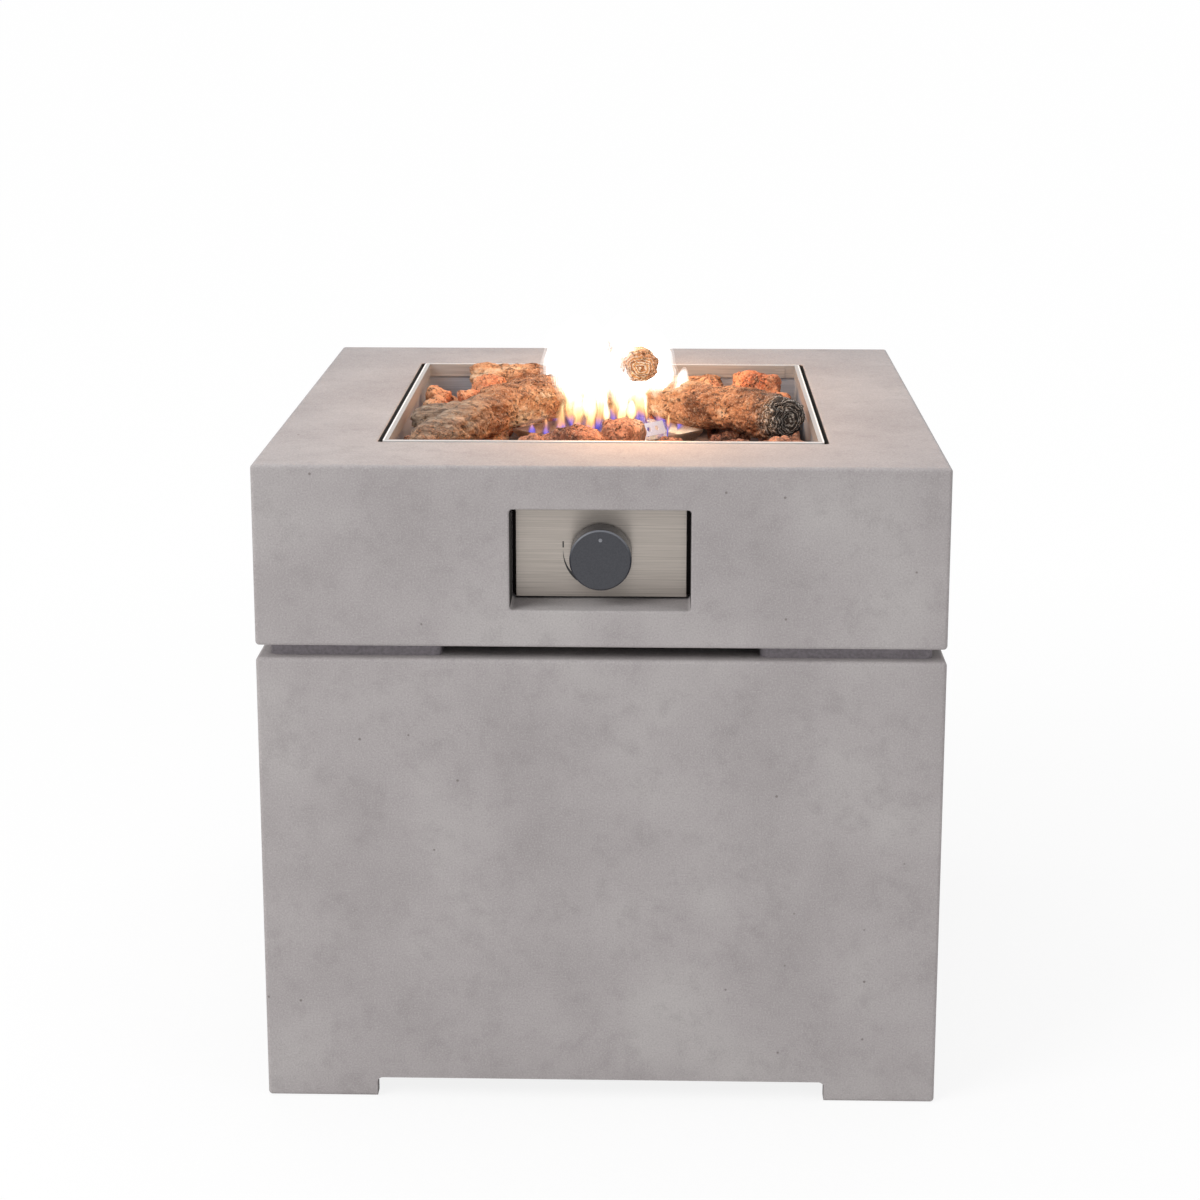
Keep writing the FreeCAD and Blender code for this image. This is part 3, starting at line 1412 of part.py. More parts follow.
def rock_bed(heap):
    """The first layer, dealt into front, back, left and right groups."""
    groups = {"front": [], "back": [], "left": [], "right": []}
    shift = ROCK_PITCH * ROCK_SHIFT
    for x, y, row, column in bed_places():
        lump = rock(
            x + shift * scatter(row, column, 1),
            y + shift * scatter(row, column, 2),
            ROCK_LENGTH * (1 - ROCK_SIZE_SPREAD + ROCK_SIZE_SPREAD * scatter(row, column, 3)),
            ROCK_WIDTH * (1 - ROCK_SIZE_SPREAD + ROCK_SIZE_SPREAD * scatter(row, column, 4)),
            ROCK_HEIGHT * (1 + ROCK_HEIGHT_SPREAD * scatter(row, column, 5)),
            ROCK_TURN * scatter(row, column, 6),
            10 * row + column,
        )
        if y < -abs(x):
            side = "front"
        elif y > abs(x):
            side = "back"
        else:
            side = "left" if x < 0 else "right"
        groups[side].append(heap.drop(lump))
    return groups


def hand_laid(heap, rocks, seed):
    laid = []
    for index, (x, y, length, width, height, turn) in enumerate(rocks):
        laid.append(heap.drop(rock(x, y, length, width, height, turn, seed + index)))
    return laid


def fire_bed():
    """Every rock and log, in the order in which they are laid."""
    heap = Heap([dish_skin(), guard_skin()])
    bed = rock_bed(heap)
    nodes = {}
    for side, lumps in bed.items():
        nodes["rock_bed_" + side] = Part.makeCompound([as_solid(lump) for lump in lumps])
    laid = {
        "rocks_back_left": hand_laid(heap, BACK_LEFT_ROCKS, 101),
        "rocks_back_right": hand_laid(heap, BACK_RIGHT_ROCKS, 201),
        "rocks_front": hand_laid(heap, FRONT_ROCKS, 301),
    }
    for name, lumps in laid.items():
        nodes[name] = Part.makeCompound([as_solid(lump) for lump in lumps])
    forked = heap.lay(
        [log_skin(FORKED_LOG, 11), log_skin(FORKED_ARM, 12)], FORKED_LOG[0], FORKED_LOG[-1]
    )
    nodes["log_forked"] = joined([as_solid(mesh) for mesh in forked])
    for name, stations, seed in (
        ("log_front_right", FRONT_RIGHT_LOG, 21),
        ("log_back_left", BACK_LEFT_LOG, 31),
        ("log_back_right", BACK_RIGHT_LOG, 41),
        ("log_top", TOP_LOG, 51),
    ):
        settled = heap.lay([log_skin(stations, seed)], stations[0], stations[-1])
        nodes[name] = as_solid(settled[0])
    return nodes


# ---- the whole object ------------------------------------------------------------------------------

def all_nodes():
    nodes = {
        "base_casing": base_casing(),
        "corner_pads": corner_pads(),
        "locating_dowels": locating_dowels(),
        "top_casing": top_casing(),
        "tray_rim": tray_rim(),
        "burner_tray": burner_tray(),
        "burner_dish": burner_dish(),
        "port_plate": port_plate(),
        "lock_nut": lock_nut(),
        "mixer_tube": mixer_tube(),
        "injector": injector(),
        "inlet_elbow": inlet_elbow(),
        "gas_pipe": bent_tube(pipe_route(), PIPE_RADIUS),
        "pipe_nuts": pipe_nuts(),
        "probe_guard": guard_plate(),
        "thermocouple": thermocouple(),
        "spark_electrode": spark_electrode(),
        "ignition_lead": ignition_lead(),
        "control_plate": control_plate(),
        "panel_screws": panel_screws(),
        "valve_body": valve_body(),
        "valve_screws": valve_screws(),
        "gas_inlet": gas_inlet(),
        "igniter": igniter(),
        "push_rod": push_rod(),
        "return_spring": return_spring(),
        "spindle": spindle(),
        "knob": knob(),
        "knob_pointer": knob_pointer(),
    }
    nodes.update(fire_bed())
    return nodes


def main():
    os.makedirs("parts", exist_ok=True)
    for name, shape in all_nodes().items():
        if not shape.isValid():
            raise ValueError(name + " isn't a valid shape")
        shape.exportStep(os.path.join("parts", name + ".step"))
        box = shape.BoundBox
        print(
            f"{name:18} solids {len(shape.Solids):3}  faces {len(shape.Faces):5}"
            f"  volume {shape.Volume / 1000:9.1f} cm3"
            f"  x {box.XMin:7.1f} {box.XMax:7.1f}  y {box.YMin:7.1f} {box.YMax:7.1f}"
            f"  z {box.ZMin:7.1f} {box.ZMax:7.1f}"
        )


main()
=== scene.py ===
"""Looks for the gas fire pit: moulded concrete casings, a steel tray, lava rock and ceramic logs.

Metres. +Z is up, the floor is z = 0, and the front, with the control window, faces -Y.
"""
import math

import bmesh
import bpy
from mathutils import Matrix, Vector


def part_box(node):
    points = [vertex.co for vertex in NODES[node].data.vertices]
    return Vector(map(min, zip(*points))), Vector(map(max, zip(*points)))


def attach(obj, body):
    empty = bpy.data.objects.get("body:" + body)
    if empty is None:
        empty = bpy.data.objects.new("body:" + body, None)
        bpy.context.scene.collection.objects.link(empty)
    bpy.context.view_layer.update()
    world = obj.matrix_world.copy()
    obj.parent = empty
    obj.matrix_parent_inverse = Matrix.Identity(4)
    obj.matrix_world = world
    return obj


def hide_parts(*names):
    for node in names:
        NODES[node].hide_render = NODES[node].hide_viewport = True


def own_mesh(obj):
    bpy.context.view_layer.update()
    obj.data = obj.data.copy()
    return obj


bl_info = {
    "name": "Gas fire pit looks",
    "version": (1, 0, 0),
    "blender": (4, 5, 0),
    "location": "3D View > Sidebar > Fire pit",
    "description": "Finishes, rock, logs and stage for a square gas fire pit",
    "category": "Object",
}

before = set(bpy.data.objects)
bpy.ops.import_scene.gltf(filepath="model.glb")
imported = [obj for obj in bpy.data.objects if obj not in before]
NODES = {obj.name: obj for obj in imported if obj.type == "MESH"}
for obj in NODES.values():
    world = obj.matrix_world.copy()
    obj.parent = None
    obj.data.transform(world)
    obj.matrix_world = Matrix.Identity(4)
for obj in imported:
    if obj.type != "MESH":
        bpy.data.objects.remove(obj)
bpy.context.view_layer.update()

MM = 0.001
MERGE_DISTANCE = 0.01 * MM     # corners nearer than this are one
LINE_LENGTH = 90 * MM      # of one brushed line in sheet metal

# Painted shade, near black, in the bowl's mouth round the tray
MOUTH_FOOT = 0.5           # its lower end
MOUTH_REACH = 5 * MM       # how far it goes past the tray's rim
MOUTH_EDGE = 1 * MM        # bare edge under the top face

# Painted shade, near black, on the window's side walls
WINDOW_HALF = 77 * MM      # from the middle to just inside the walls
WINDOW_REACH = 80 * MM     # to just behind the face of the walls
WINDOW_FOOT = 0.4585       # just above the sill
WINDOW_EDGE = 1.5 * MM     # bare edge at the front
WINDOW_DEPTH = 40 * MM     # past the back of the walls
WINDOW_HEAD = 30 * MM      # from the top face down to below the window's head


# ---- small helpers ---------------------------------------------------------------------------------

def linear(colour):
    """An sRGB hex colour as linear RGBA. Any other value is given back as it is."""
    if not isinstance(colour, str):
        return colour
    values = []
    for start in (1, 3, 5):
        value = int(colour[start:start + 2], 16) / 255
        values.append(value / 12.92 if value <= 0.04045 else ((value + 0.055) / 1.055) ** 2.4)
    return (*values, 1.0)


def select_only(piece):
    """Selects one piece and makes it the active one."""
    bpy.ops.object.select_all(action="DESELECT")
    piece.select_set(True)
    bpy.context.view_layer.objects.active = piece


def modify(piece, kind, **settings):
    """Adds a modifier, sets it and applies it."""
    select_only(piece)
    bpy.ops.object.modifier_add(type=kind)
    modifier = piece.modifiers[-1]
    for name, value in settings.items():
        setattr(modifier, name, value)
    bpy.ops.object.modifier_apply(modifier=modifier.name)


def feed(socket, value):
    """Sets a socket to a number, a vector or a colour, or links another node's output to it."""
    if isinstance(value, bpy.types.NodeSocket):
        socket.id_data.links.new(value, socket)
    else:
        socket.default_value = linear(value)


def add_node(tree, kind, values=(), output=None, stops=(), **settings):
    """Adds a node with its settings and links. Gives the output of a name, or the first one in use.

    Values go to the inputs in use in their order, or by name from a dict. Stops are the places and colours
    of a colour ramp.
    """
    node = tree.nodes.new("ShaderNode" + kind)
    for name, setting in settings.items():
        setattr(node, name, setting)
    if stops:
        elements = node.color_ramp.elements
        while len(elements) < len(stops):
            elements.new(1.0)
        for element, (place, colour) in zip(elements, stops):
            element.position = place
            element.color = linear(colour)
    if isinstance(values, dict):
        for name, value in values.items():
            feed(node.inputs[name], value)
    else:
        for socket, value in zip([socket for socket in node.inputs if socket.enabled], values):
            feed(socket, value)
    if output:
        return node.outputs[output]
    return next((socket for socket in node.outputs if socket.enabled), None)


class Finish:
    """A material with one Principled shader, patterned by the object's own coordinates in metres."""

    def __init__(self, name, roughness, metallic=0.0):
        self.material = bpy.data.materials.new(name)
        self.material.use_nodes = True
        self.tree = self.material.node_tree
        self.shader = self.tree.nodes["Principled BSDF"]
        self.place = add_node(self.tree, "TexCoord", output="Object")
        self.set("Roughness", roughness)
        self.set("Metallic", metallic)

    def set(self, name, value):
        """Feeds an input of the shader."""
        feed(self.shader.inputs[name], value)

    def add(self, kind, values=(), output=None, **settings):
        """Adds a node. A texture that is given no vector of its own reads the object's coordinates."""
        if kind.startswith("Tex"):
            values = {"Vector": self.place, **values}
        return add_node(self.tree, kind, values, output, **settings)

    def stretched(self, scales, centre=(0, 0, 0)):
        """The object's coordinates, moved to a centre and scaled along each axis."""
        moved = self.add("VectorMath", (self.place, centre), operation="SUBTRACT")
        return self.add("VectorMath", (moved, scales), operation="MULTIPLY")

    def widest(self):
        """The larger of the distances from the middle along X and along Y."""
        parts = [self.add("SeparateXYZ", [self.place], axis) for axis in "XY"]
        sides = [self.add("Math", [part], operation="ABSOLUTE") for part in parts]
        return self.add("Math", sides, operation="MAXIMUM")

    def inside(self, low, high):
        """1 inside a box and 0 outside it, by the object's own coordinates."""
        share = 1.0
        for axis, start, end in zip("XYZ", low, high):
            along = self.add("SeparateXYZ", [self.place], axis)
            for test, limit in (("GREATER_THAN", start), ("LESS_THAN", end)):
                passed = self.add("Math", (along, limit), operation=test)
                share = self.add("Math", (share, passed), operation="MULTIPLY")
        return share

    def cover(self, tone, height, depth, strength):
        """Gives the shader its colour and a fine relief of a depth in metres, and returns the material."""
        self.set("Base Color", tone)
        self.set("Normal", self.add("Bump", {"Height": height, "Distance": depth, "Strength": strength}))
        return self.material


def paint(node_name, material):
    """Gives a frame node its finish."""
    piece = NODES[node_name]
    for slot in piece.material_slots:
        slot.material = material


# ---- materials -------------------------------------------------------------------------------------

def concrete(settings):
    """Fibre concrete, cast in a mould and left bare.

    It looks clouded and dry: wide soft clouds, small darker blotches, fine sand, a few air holes, no shine.
    Real sand would be too fine to show, so it is drawn coarser. Painted shade, near black, in the bowl's
    mouth draws a dark line round the tray. The same painted shade on the window's side walls makes the gaps
    beside the control plate look deep.
    """
    finish = Finish("cast_fibre_concrete", 0.88)
    clouds = finish.add("TexNoise", {"Scale": 1 / settings.cloud_size, "Detail": 4.0, "Roughness": 0.55})
    blotches = finish.add("TexNoise", {"Scale": 1 / settings.blotch_size, "Detail": 6.0, "Roughness": 0.7})
    sand = finish.add("TexNoise", {"Scale": 1 / settings.grit_size, "Detail": 2.0, "Roughness": 0.75})
    holes = finish.add("TexVoronoi", {"Scale": 1 / settings.pinhole_spacing})
    tone = finish.add("ValToRGB", [clouds], stops=(
        (0.3, settings.shade_colour), (0.52, settings.body_colour), (0.72, settings.light_colour)))
    marks = (
        (blotches, 0.5, 0.72, 0.0, 0.4, "#8c8686"),
        (sand, 0.5, 0.74, 0.0, 0.4, "#837c7c"),
        (sand, 0.48, 0.3, 0.0, 0.35, "#c8c3c2"),
        (holes, 0.025, 0.045, 0.7, 0.0, "#69625f"),
    )
    for *reading, colour in marks:
        tone = finish.add("Mix", (finish.add("MapRange", reading), tone, colour), data_type="RGBA")
    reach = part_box("tray_rim")[1].x + MOUTH_REACH
    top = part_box("top_casing")[1].z
    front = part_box("top_casing")[0].y
    # Painted shade: a near black band in the bowl's mouth, so the gap round the tray looks dark
    painted_shade_bands = [((-reach, -reach, MOUTH_FOOT), (reach, reach, top - MOUTH_EDGE), "#2c2826")]
    # Painted shade on the window's side walls, so the gaps beside the control plate look deep
    for left, right in ((-WINDOW_REACH, -WINDOW_HALF), (WINDOW_HALF, WINDOW_REACH)):
        low = (left, front + WINDOW_EDGE, WINDOW_FOOT)
        high = (right, front + WINDOW_DEPTH, top - WINDOW_HEAD)
        painted_shade_bands.append((low, high, "#24211f"))
    for low, high, colour in painted_shade_bands:
        tone = finish.add("Mix", (finish.inside(low, high), tone, colour), data_type="RGBA")
    return finish.cover(tone, finish.add("Math", (sand, blotches), operation="ADD"), 0.5 * MM, 0.35)


def brushed_sheet(name, colour, streak_colour, along, pitch, roughness, tint=None, across=0.0, metallic=1.0,
                  dark_foot_top=None, dark_behind=None):
    """Stainless sheet, linished: fine parallel lines, and mirrored light drawn out across them.

    A tint gives the soft straw and brown clouds of steel that has been hot. Across, from 0 to 1, is how far
    what the sheet mirrors is drawn out. Below dark_foot_top, the sheet turns dark brown towards its foot.
    Behind dark_behind, which is a place along Y, the folds get painted shade, near black, so the gap at the
    sheet's ends looks deep. Lines finer than the pitch wouldn't show, so they are drawn as coarse as that.
    """
    finish = Finish(name, roughness, metallic)
    scales = [1 / pitch] * 3
    scales["XYZ".index(along)] = 1 / LINE_LENGTH
    lines = finish.add("TexNoise", {
        "Vector": finish.stretched(scales), "Scale": 1.0, "Detail": 3.0, "Roughness": 0.6})
    tone = finish.add("ValToRGB", [lines], stops=((0.35, streak_colour), (0.65, colour)))
    if tint:
        clouds = finish.add("TexNoise", {"Scale": 1 / (45 * MM), "Detail": 4.0, "Roughness": 0.6})
        share = finish.add("MapRange", (clouds, 0.48, 0.78, 0.0, 0.6))
        tone = finish.add("Mix", (share, tone, tint), data_type="RGBA")
    if dark_foot_top:
        # Darker brown in grains towards the foot of the sheet
        height = finish.add("SeparateXYZ", [finish.place], "Z")
        share = finish.add("MapRange", (height, dark_foot_top, dark_foot_top + 26 * MM, 0.9, 0.0))
        grains = finish.add("TexNoise", {"Scale": 1 / (9 * MM), "Detail": 5.0, "Roughness": 0.6})
        dark_foot_tone = finish.add("ValToRGB", [grains], stops=((0.35, "#3f2f27"), (0.65, "#7a6152")))
        tone = finish.add("Mix", (share, tone, dark_foot_tone), data_type="RGBA")
    if dark_behind:
        # Painted shade: near black on the folds behind the sheet's face, so the gaps at its ends look deep
        painted_fold_shade = finish.inside((-1, dark_behind, -1), (1, 1, 1))
        tone = finish.add("Mix", (painted_fold_shade, tone, "#1c1a19"), data_type="RGBA")
    if across:
        finish.set("Tangent", finish.add("Tangent", direction_type="RADIAL", axis="Z"))
        finish.set("Anisotropic", across)
        finish.set("Anisotropic Rotation", 0.25)
    finish.set("Roughness", finish.add("MapRange", (lines, 0.3, 0.7, roughness - 0.08, roughness + 0.1)))
    return finish.cover(tone, lines, 0.08 * MM, 0.2)


def folded_rim():
    """Stainless strip, brushed and folded over the tray's edge.

    It looks grey and finely lined, with a painted highlight, a bright line along the outside of the fold.
    """
    finish = Finish("folded_stainless_rim", 0.4, 0.3)
    along = finish.stretched((1 / LINE_LENGTH, 1 / MM, 1 / MM))
    lines = finish.add("TexNoise", {"Vector": along, "Scale": 1.0, "Detail": 3.0, "Roughness": 0.6})
    tone = finish.add("ValToRGB", [lines], stops=((0.35, "#a09d9b"), (0.65, "#b9b6b4")))
    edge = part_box("tray_rim")[1].x - 1.7 * MM
    # Painted highlight: a near white line along the outer edge of the fold
    painted_fold_highlight = finish.add("MapRange", (finish.widest(), edge, edge + 0.4 * MM))
    return finish.cover(finish.add("Mix", (painted_fold_highlight, tone, "#f3f1ef"), data_type="RGBA"), lines, 0.08 * MM, 0.2)


def speckled(name, colour, second, spot_size, roughness, metallic=0.0, depth=0.1 * MM):
    """A plain moulded, drawn, cast or plated surface: two close tones in spots, with fine relief.

    The spots keep a small part from looking flat. Real grain is finer, and is drawn coarse enough to show.
    """
    finish = Finish(name, roughness, metallic)
    spots = finish.add("TexNoise", {"Scale": 1 / spot_size, "Detail": 3.0, "Roughness": 0.6})
    tone = finish.add("ValToRGB", [spots], stops=((0.35, second), (0.62, colour)))
    return finish.cover(tone, spots, depth, 0.3)


def moulded_knob(colour):
    """ABS, moulded with a fine grain: near black with a soft gleam, and a painted highlight along the top of
    the bevel.
    """
    finish = Finish("moulded_abs_knob", 0.26)
    low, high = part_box("knob")
    centre = (low + high) / 2
    radius = (high.x - low.x) / 2
    grain = finish.add("TexNoise", {"Scale": 1 / (1.2 * MM), "Detail": 3.0, "Roughness": 0.6})
    away = finish.add("VectorMath", (finish.stretched((1, 0, 1), centre), (0, 0, 0)), operation="DISTANCE")
    # Painted highlight: a pale ring at the edge of the face, on its upper half only, as the light falls from
    # above
    ring = finish.add("MapRange", (away, radius - 1.6 * MM, radius - 1.1 * MM))
    face = finish.inside((-1, -1, -1), (1, low.y + 1.3 * MM, 1))
    height = finish.add("SeparateXYZ", [finish.place], "Z")
    upper = finish.add("MapRange", (height, centre.z, high.z - 4 * MM, 0.0, 0.5))
    painted_bevel_highlight = finish.add("Math", (ring, face), operation="MULTIPLY")
    painted_bevel_highlight = finish.add("Math", (painted_bevel_highlight, upper), operation="MULTIPLY")
    tone = finish.add("ValToRGB", [grain], stops=((0.35, "#34353b"), (0.62, colour)))
    return finish.cover(finish.add("Mix", (painted_bevel_highlight, tone, "#a9acb4"), data_type="RGBA"), grain, 0.1 * MM, 0.3)


def pitted(name, tones, patch_size, pore_size, pore_colour, length=1.0):
    """A porous mineral skin: ragged patches of a few tones, dark pores in clusters, and a gritty surface with
    painted glints.

    Length draws the patches and cracks out along X, as bark has them. Gives the finish and its tone.
    """
    finish = Finish(name, 0.92)
    drawn = finish.stretched((1 / length, 1, 1))
    patches = finish.add("TexNoise", {
        "Vector": drawn, "Scale": 1 / patch_size, "Detail": 7.0, "Roughness": 0.68})
    drift = finish.add("TexNoise", {"Scale": 1 / (75 * MM), "Detail": 1.0, "Roughness": 0.6})
    drift = finish.add("MapRange", (drift, 0.3, 0.7, -0.16, 0.16))
    tone = finish.add("ValToRGB", [finish.add("Math", (patches, drift), operation="ADD")], stops=tones)
    bend = finish.add("TexNoise", {"Scale": 1 / (pore_size * 2.5), "Detail": 2.0, "Roughness": 0.6}, "Color")
    bend = finish.add("VectorMath", (bend, [pore_size * 1.6] * 3), operation="MULTIPLY")
    bent = finish.add("VectorMath", (finish.place, bend), operation="ADD")
    pores = finish.add("TexVoronoi", {"Vector": bent, "Scale": 1 / pore_size})
    pores = finish.add("MapRange", (pores, 0.16, 0.42, 0.95, 0.0))
    clusters = finish.add("TexNoise", {"Scale": 1 / (pore_size * 5), "Detail": 3.0, "Roughness": 0.6})
    clusters = finish.add("MapRange", (clusters, 0.46, 0.62))
    pores = finish.add("Math", (pores, clusters), operation="MULTIPLY")
    cracks = finish.add("TexNoise", {
        "Vector": drawn, "Scale": 1 / (pore_size * 1.5), "Detail": 5.0, "Roughness": 0.78, "Distortion": 1.2})
    cracks = finish.add("MapRange", (cracks, 0.35, 0.45, 0.85, 0.0))
    pores = finish.add("Math", (pores, cracks), operation="MAXIMUM")
    tone = finish.add("Mix", (pores, tone, pore_colour), data_type="RGBA")
    grit = finish.add("TexNoise", {"Scale": 1 / (1.9 * MM), "Detail": 3.0, "Roughness": 0.75})
    # Painted glints: pale specks of the lightest tone on the grit
    painted_glints = finish.add("MapRange", (grit, 0.47, 0.32, 0.0, 0.6))
    tone = finish.add("Mix", (painted_glints, tone, tones[-1][1]), data_type="RGBA")
    finish.cover(tone, finish.add("Math", (grit, pores), operation="SUBTRACT"), 2.2 * MM, 1.0)
    return finish, tone


def ragged_spot(finish, centre, reach, soft):
    """A mask with a ragged edge, 1 near a point of the object and 0 away from it."""
    away = finish.add("VectorMath", (finish.place, centre), operation="DISTANCE")
    ragged = finish.add("TexNoise", {"Scale": 1 / (11 * MM), "Detail": 4.0, "Roughness": 0.7})
    ragged = finish.add("Math", (ragged, soft * 1.6), operation="MULTIPLY")
    away = finish.add("Math", (away, ragged), operation="ADD")
    return finish.add("MapRange", (away, reach, reach + soft, 1.0, 0.0))


def cut_end(finish, tone, centre, reach, ring, tones):
    """The cut end of a log: wavy growth rings, charred or bleached, that fade into the bark."""
    rings = finish.add("TexWave", {
        "Vector": finish.stretched([1.0] * 3, centre), "Scale": 0.31 / ring, "Distortion": 7.0, "Detail": 3.0,
        "Detail Scale": 1.5, "Detail Roughness": 0.6,
    }, "Fac", wave_type="RINGS", rings_direction="SPHERICAL")
    rings = finish.add("ValToRGB", [rings], stops=tones)
    return finish.add("Mix", (ragged_spot(finish, centre, reach, 14 * MM), tone, rings), data_type="RGBA")


# ---- settings --------------------------------------------------------------------------------------

class ConcreteSettings(bpy.types.PropertyGroup):
    """Tones and grain of the concrete"""
    body_colour: bpy.props.FloatVectorProperty(
        name="Body", description="Main tone", default=linear("#a8a2a2"), subtype="COLOR", size=4)
    light_colour: bpy.props.FloatVectorProperty(
        name="Light", description="Light clouds", default=linear("#b1acab"), subtype="COLOR", size=4)
    shade_colour: bpy.props.FloatVectorProperty(
        name="Shade", description="Dark clouds", default=linear("#9f9999"), subtype="COLOR", size=4)
    cloud_size: bpy.props.FloatProperty(
        name="Cloud size", description="Width of the clouds", default=110 * MM, unit="LENGTH", min=10 * MM)
    blotch_size: bpy.props.FloatProperty(
        name="Blotch size", description="Width of dark blotches", default=22 * MM, unit="LENGTH", min=2 * MM)
    grit_size: bpy.props.FloatProperty(
        name="Sand size", description="Size of the sand", default=1.5 * MM, unit="LENGTH", min=0.2 * MM)
    pinhole_spacing: bpy.props.FloatProperty(
        name="Pinhole spacing", description="Space between air holes", default=34 * MM, unit="LENGTH",
        min=2 * MM)


class FireBedSettings(bpy.types.PropertyGroup):
    """Detail of the rock and the logs"""
    rock_voxel: bpy.props.FloatProperty(
        name="Rock detail", description="Smallest detail of the rock", default=1.9 * MM, unit="LENGTH",
        min=0.5 * MM)
    log_voxel: bpy.props.FloatProperty(
        name="Log detail", description="Smallest detail of the logs", default=1.5 * MM, unit="LENGTH",
        min=0.5 * MM)
    pore_depth: bpy.props.FloatProperty(
        name="Pore depth", description="Depth of the pores", default=2.2 * MM, unit="LENGTH", min=0.0)
    pore_size: bpy.props.FloatProperty(
        name="Pore size", description="Spacing of the pores", default=6.5 * MM, unit="LENGTH", min=1 * MM)


class ControlSettings(bpy.types.PropertyGroup):
    """Colours and dial of the control plate"""
    plate_colour: bpy.props.FloatVectorProperty(
        name="Plate", description="Brushed plate", default=linear("#cac1b9"), subtype="COLOR", size=4)
    knob_colour: bpy.props.FloatVectorProperty(
        name="Knob", description="Moulded knob", default=linear("#3c3d43"), subtype="COLOR", size=4)
    print_colour: bpy.props.FloatVectorProperty(
        name="Dial print", description="Printed marks", default=linear("#2b2b2d"), subtype="COLOR", size=4)
    dial_radius: bpy.props.FloatProperty(
        name="Dial radius", description="Radius of the printed arc", default=33.5 * MM, unit="LENGTH",
        min=5 * MM)


class StageSettings(bpy.types.PropertyGroup):
    """Floor and light"""
    floor_size: bpy.props.FloatProperty(
        name="Floor size", description="Side of the floor", default=90.0, unit="LENGTH", min=1.0)
    sky: bpy.props.FloatProperty(name="Sky", description="Strength of the even light", default=0.5, min=0.0)
    key: bpy.props.FloatProperty(
        name="Key lamp", description="Power of the lamp at upper left", default=100.0, min=0.0, unit="POWER")
    fill: bpy.props.FloatProperty(
        name="Fill lamp", description="Power of the lamp at the right", default=14.0, min=0.0, unit="POWER")
    top: bpy.props.FloatProperty(
        name="Top lamp", description="Power of the lamp overhead", default=36.0, min=0.0, unit="POWER")
    glow: bpy.props.FloatProperty(
        name="Fire glow", description="Power of the fire's own light", default=1.6, min=0.0, unit="POWER")


# ---- pieces ----------------------------------------------------------------------------------------

class FIREPIT_OT_casings(bpy.types.Operator):
    """Gives both casings and the corner pads their concrete"""
    bl_idname = "firepit.casings"
    bl_label = "Concrete casings"

    def execute(self, context):
        stone = concrete(context.scene.firepit_concrete)
        for name in ("base_casing", "top_casing"):
            paint(name, stone)
        # Concrete, moulded: grainier than the casings, with painted shade that makes it a tone darker, as in
        # the shadow gap
        paint("corner_pads", speckled(
            "pad_concrete_painted_shade", "#918b90", "#7f797e", 3 * MM, 0.88, depth=0.3 * MM))
        return {"FINISHED"}


class FIREPIT_OT_tray(bpy.types.Operator):
    """Gives the tray and its folded rim their sheet metal"""
    bl_idname = "firepit.tray"
    bl_label = "Steel tray"

    def execute(self, context):
        paint("tray_rim", folded_rim())
        # Stainless sheet, brushed and dulled by heat: a flat blue grey that turns dark brown towards the foot
        paint("burner_tray", brushed_sheet(
            "stainless_tray_sheet", "#acb3be", "#979ea9", "X", 1.4 * MM, 0.5, metallic=0.12,
            dark_foot_top=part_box("burner_tray")[0].z + 2 * MM))
        return {"FINISHED"}


class FIREPIT_OT_burner(bpy.types.Operator):
    """Gives the burner dish, its port plate, the guard and the probes their finishes"""
    bl_idname = "firepit.burner"
    bl_label = "Burner"

    def execute(self, context):
        # Stainless sheet, brushed, folded and run hot: bright, with straw-coloured clouds
        dish = brushed_sheet(
            "folded_stainless_burner", "#f0e9df", "#d8cdbf", "Z", 1.2 * MM, 0.34, tint="#c09c78",
            metallic=0.8)
        paint("burner_dish", dish)
        paint("port_plate", dish)
        # Stainless sheet, left as rolled: the brightest metal of the burner, near white
        paint("probe_guard", brushed_sheet(
            "bright_stainless_guard", "#ecf0ff", "#dfe4fa", "X", 0.8 * MM, 0.35, metallic=0.3))
        # Alumina, glazed: cream with a soft gleam
        paint("spark_electrode", speckled("glazed_alumina", "#ece7db", "#d9cfbc", 6 * MM, 0.35))
        # Copper, drawn thin and annealed: warm, with brown patches
        paint("thermocouple", speckled("drawn_copper_capillary", "#c48a63", "#8d5a3c", 9 * MM, 0.35, 1.0))
        # Silicone rubber, extruded: dull brick red
        paint("ignition_lead", speckled("silicone_lead_jacket", "#6e2b22", "#5b221b", 5 * MM, 0.5))
        return {"FINISHED"}


class FIREPIT_OT_gas_parts(bpy.types.Operator):
    """Gives the gas pipe, the tap and the fasteners under the tray their metals"""
    bl_idname = "firepit.gas_parts"
    bl_label = "Gas parts"

    def execute(self, context):
        # Brass, turned: warm yellow with a clear gleam
        brass = speckled("turned_brass", "#cfae6a", "#b08d4b", 8 * MM, 0.3, 1.0, 0.03 * MM)
        # Steel, zinc plated: cool, bright and faintly mottled
        zinc = speckled("bright_zinc_plate", "#b9bcc2", "#9a9da4", 5 * MM, 0.36, 1.0, 0.04 * MM)
        for name in ("injector", "inlet_elbow", "pipe_nuts", "gas_inlet"):
            paint(name, brass)
        for name in ("lock_nut", "mixer_tube", "panel_screws", "valve_screws", "push_rod", "spindle",
                     "locating_dowels"):
            paint(name, zinc)
        # Copper pipe, drawn: smooth, with long darker stains
        paint("gas_pipe", speckled("drawn_copper_pipe", "#c88f6c", "#a06a4a", 14 * MM, 0.32, 1.0, 0.03 * MM))
        # Aluminium, die cast: even matt grey
        paint("valve_body", speckled("die_cast_aluminium", "#a3a5a8", "#8f9195", 3 * MM, 0.55, 1.0))
        # Nylon, moulded: black with a dull sheen
        paint("igniter", speckled("moulded_igniter_nylon", "#222224", "#1a1a1c", 2 * MM, 0.5))
        return {"FINISHED"}


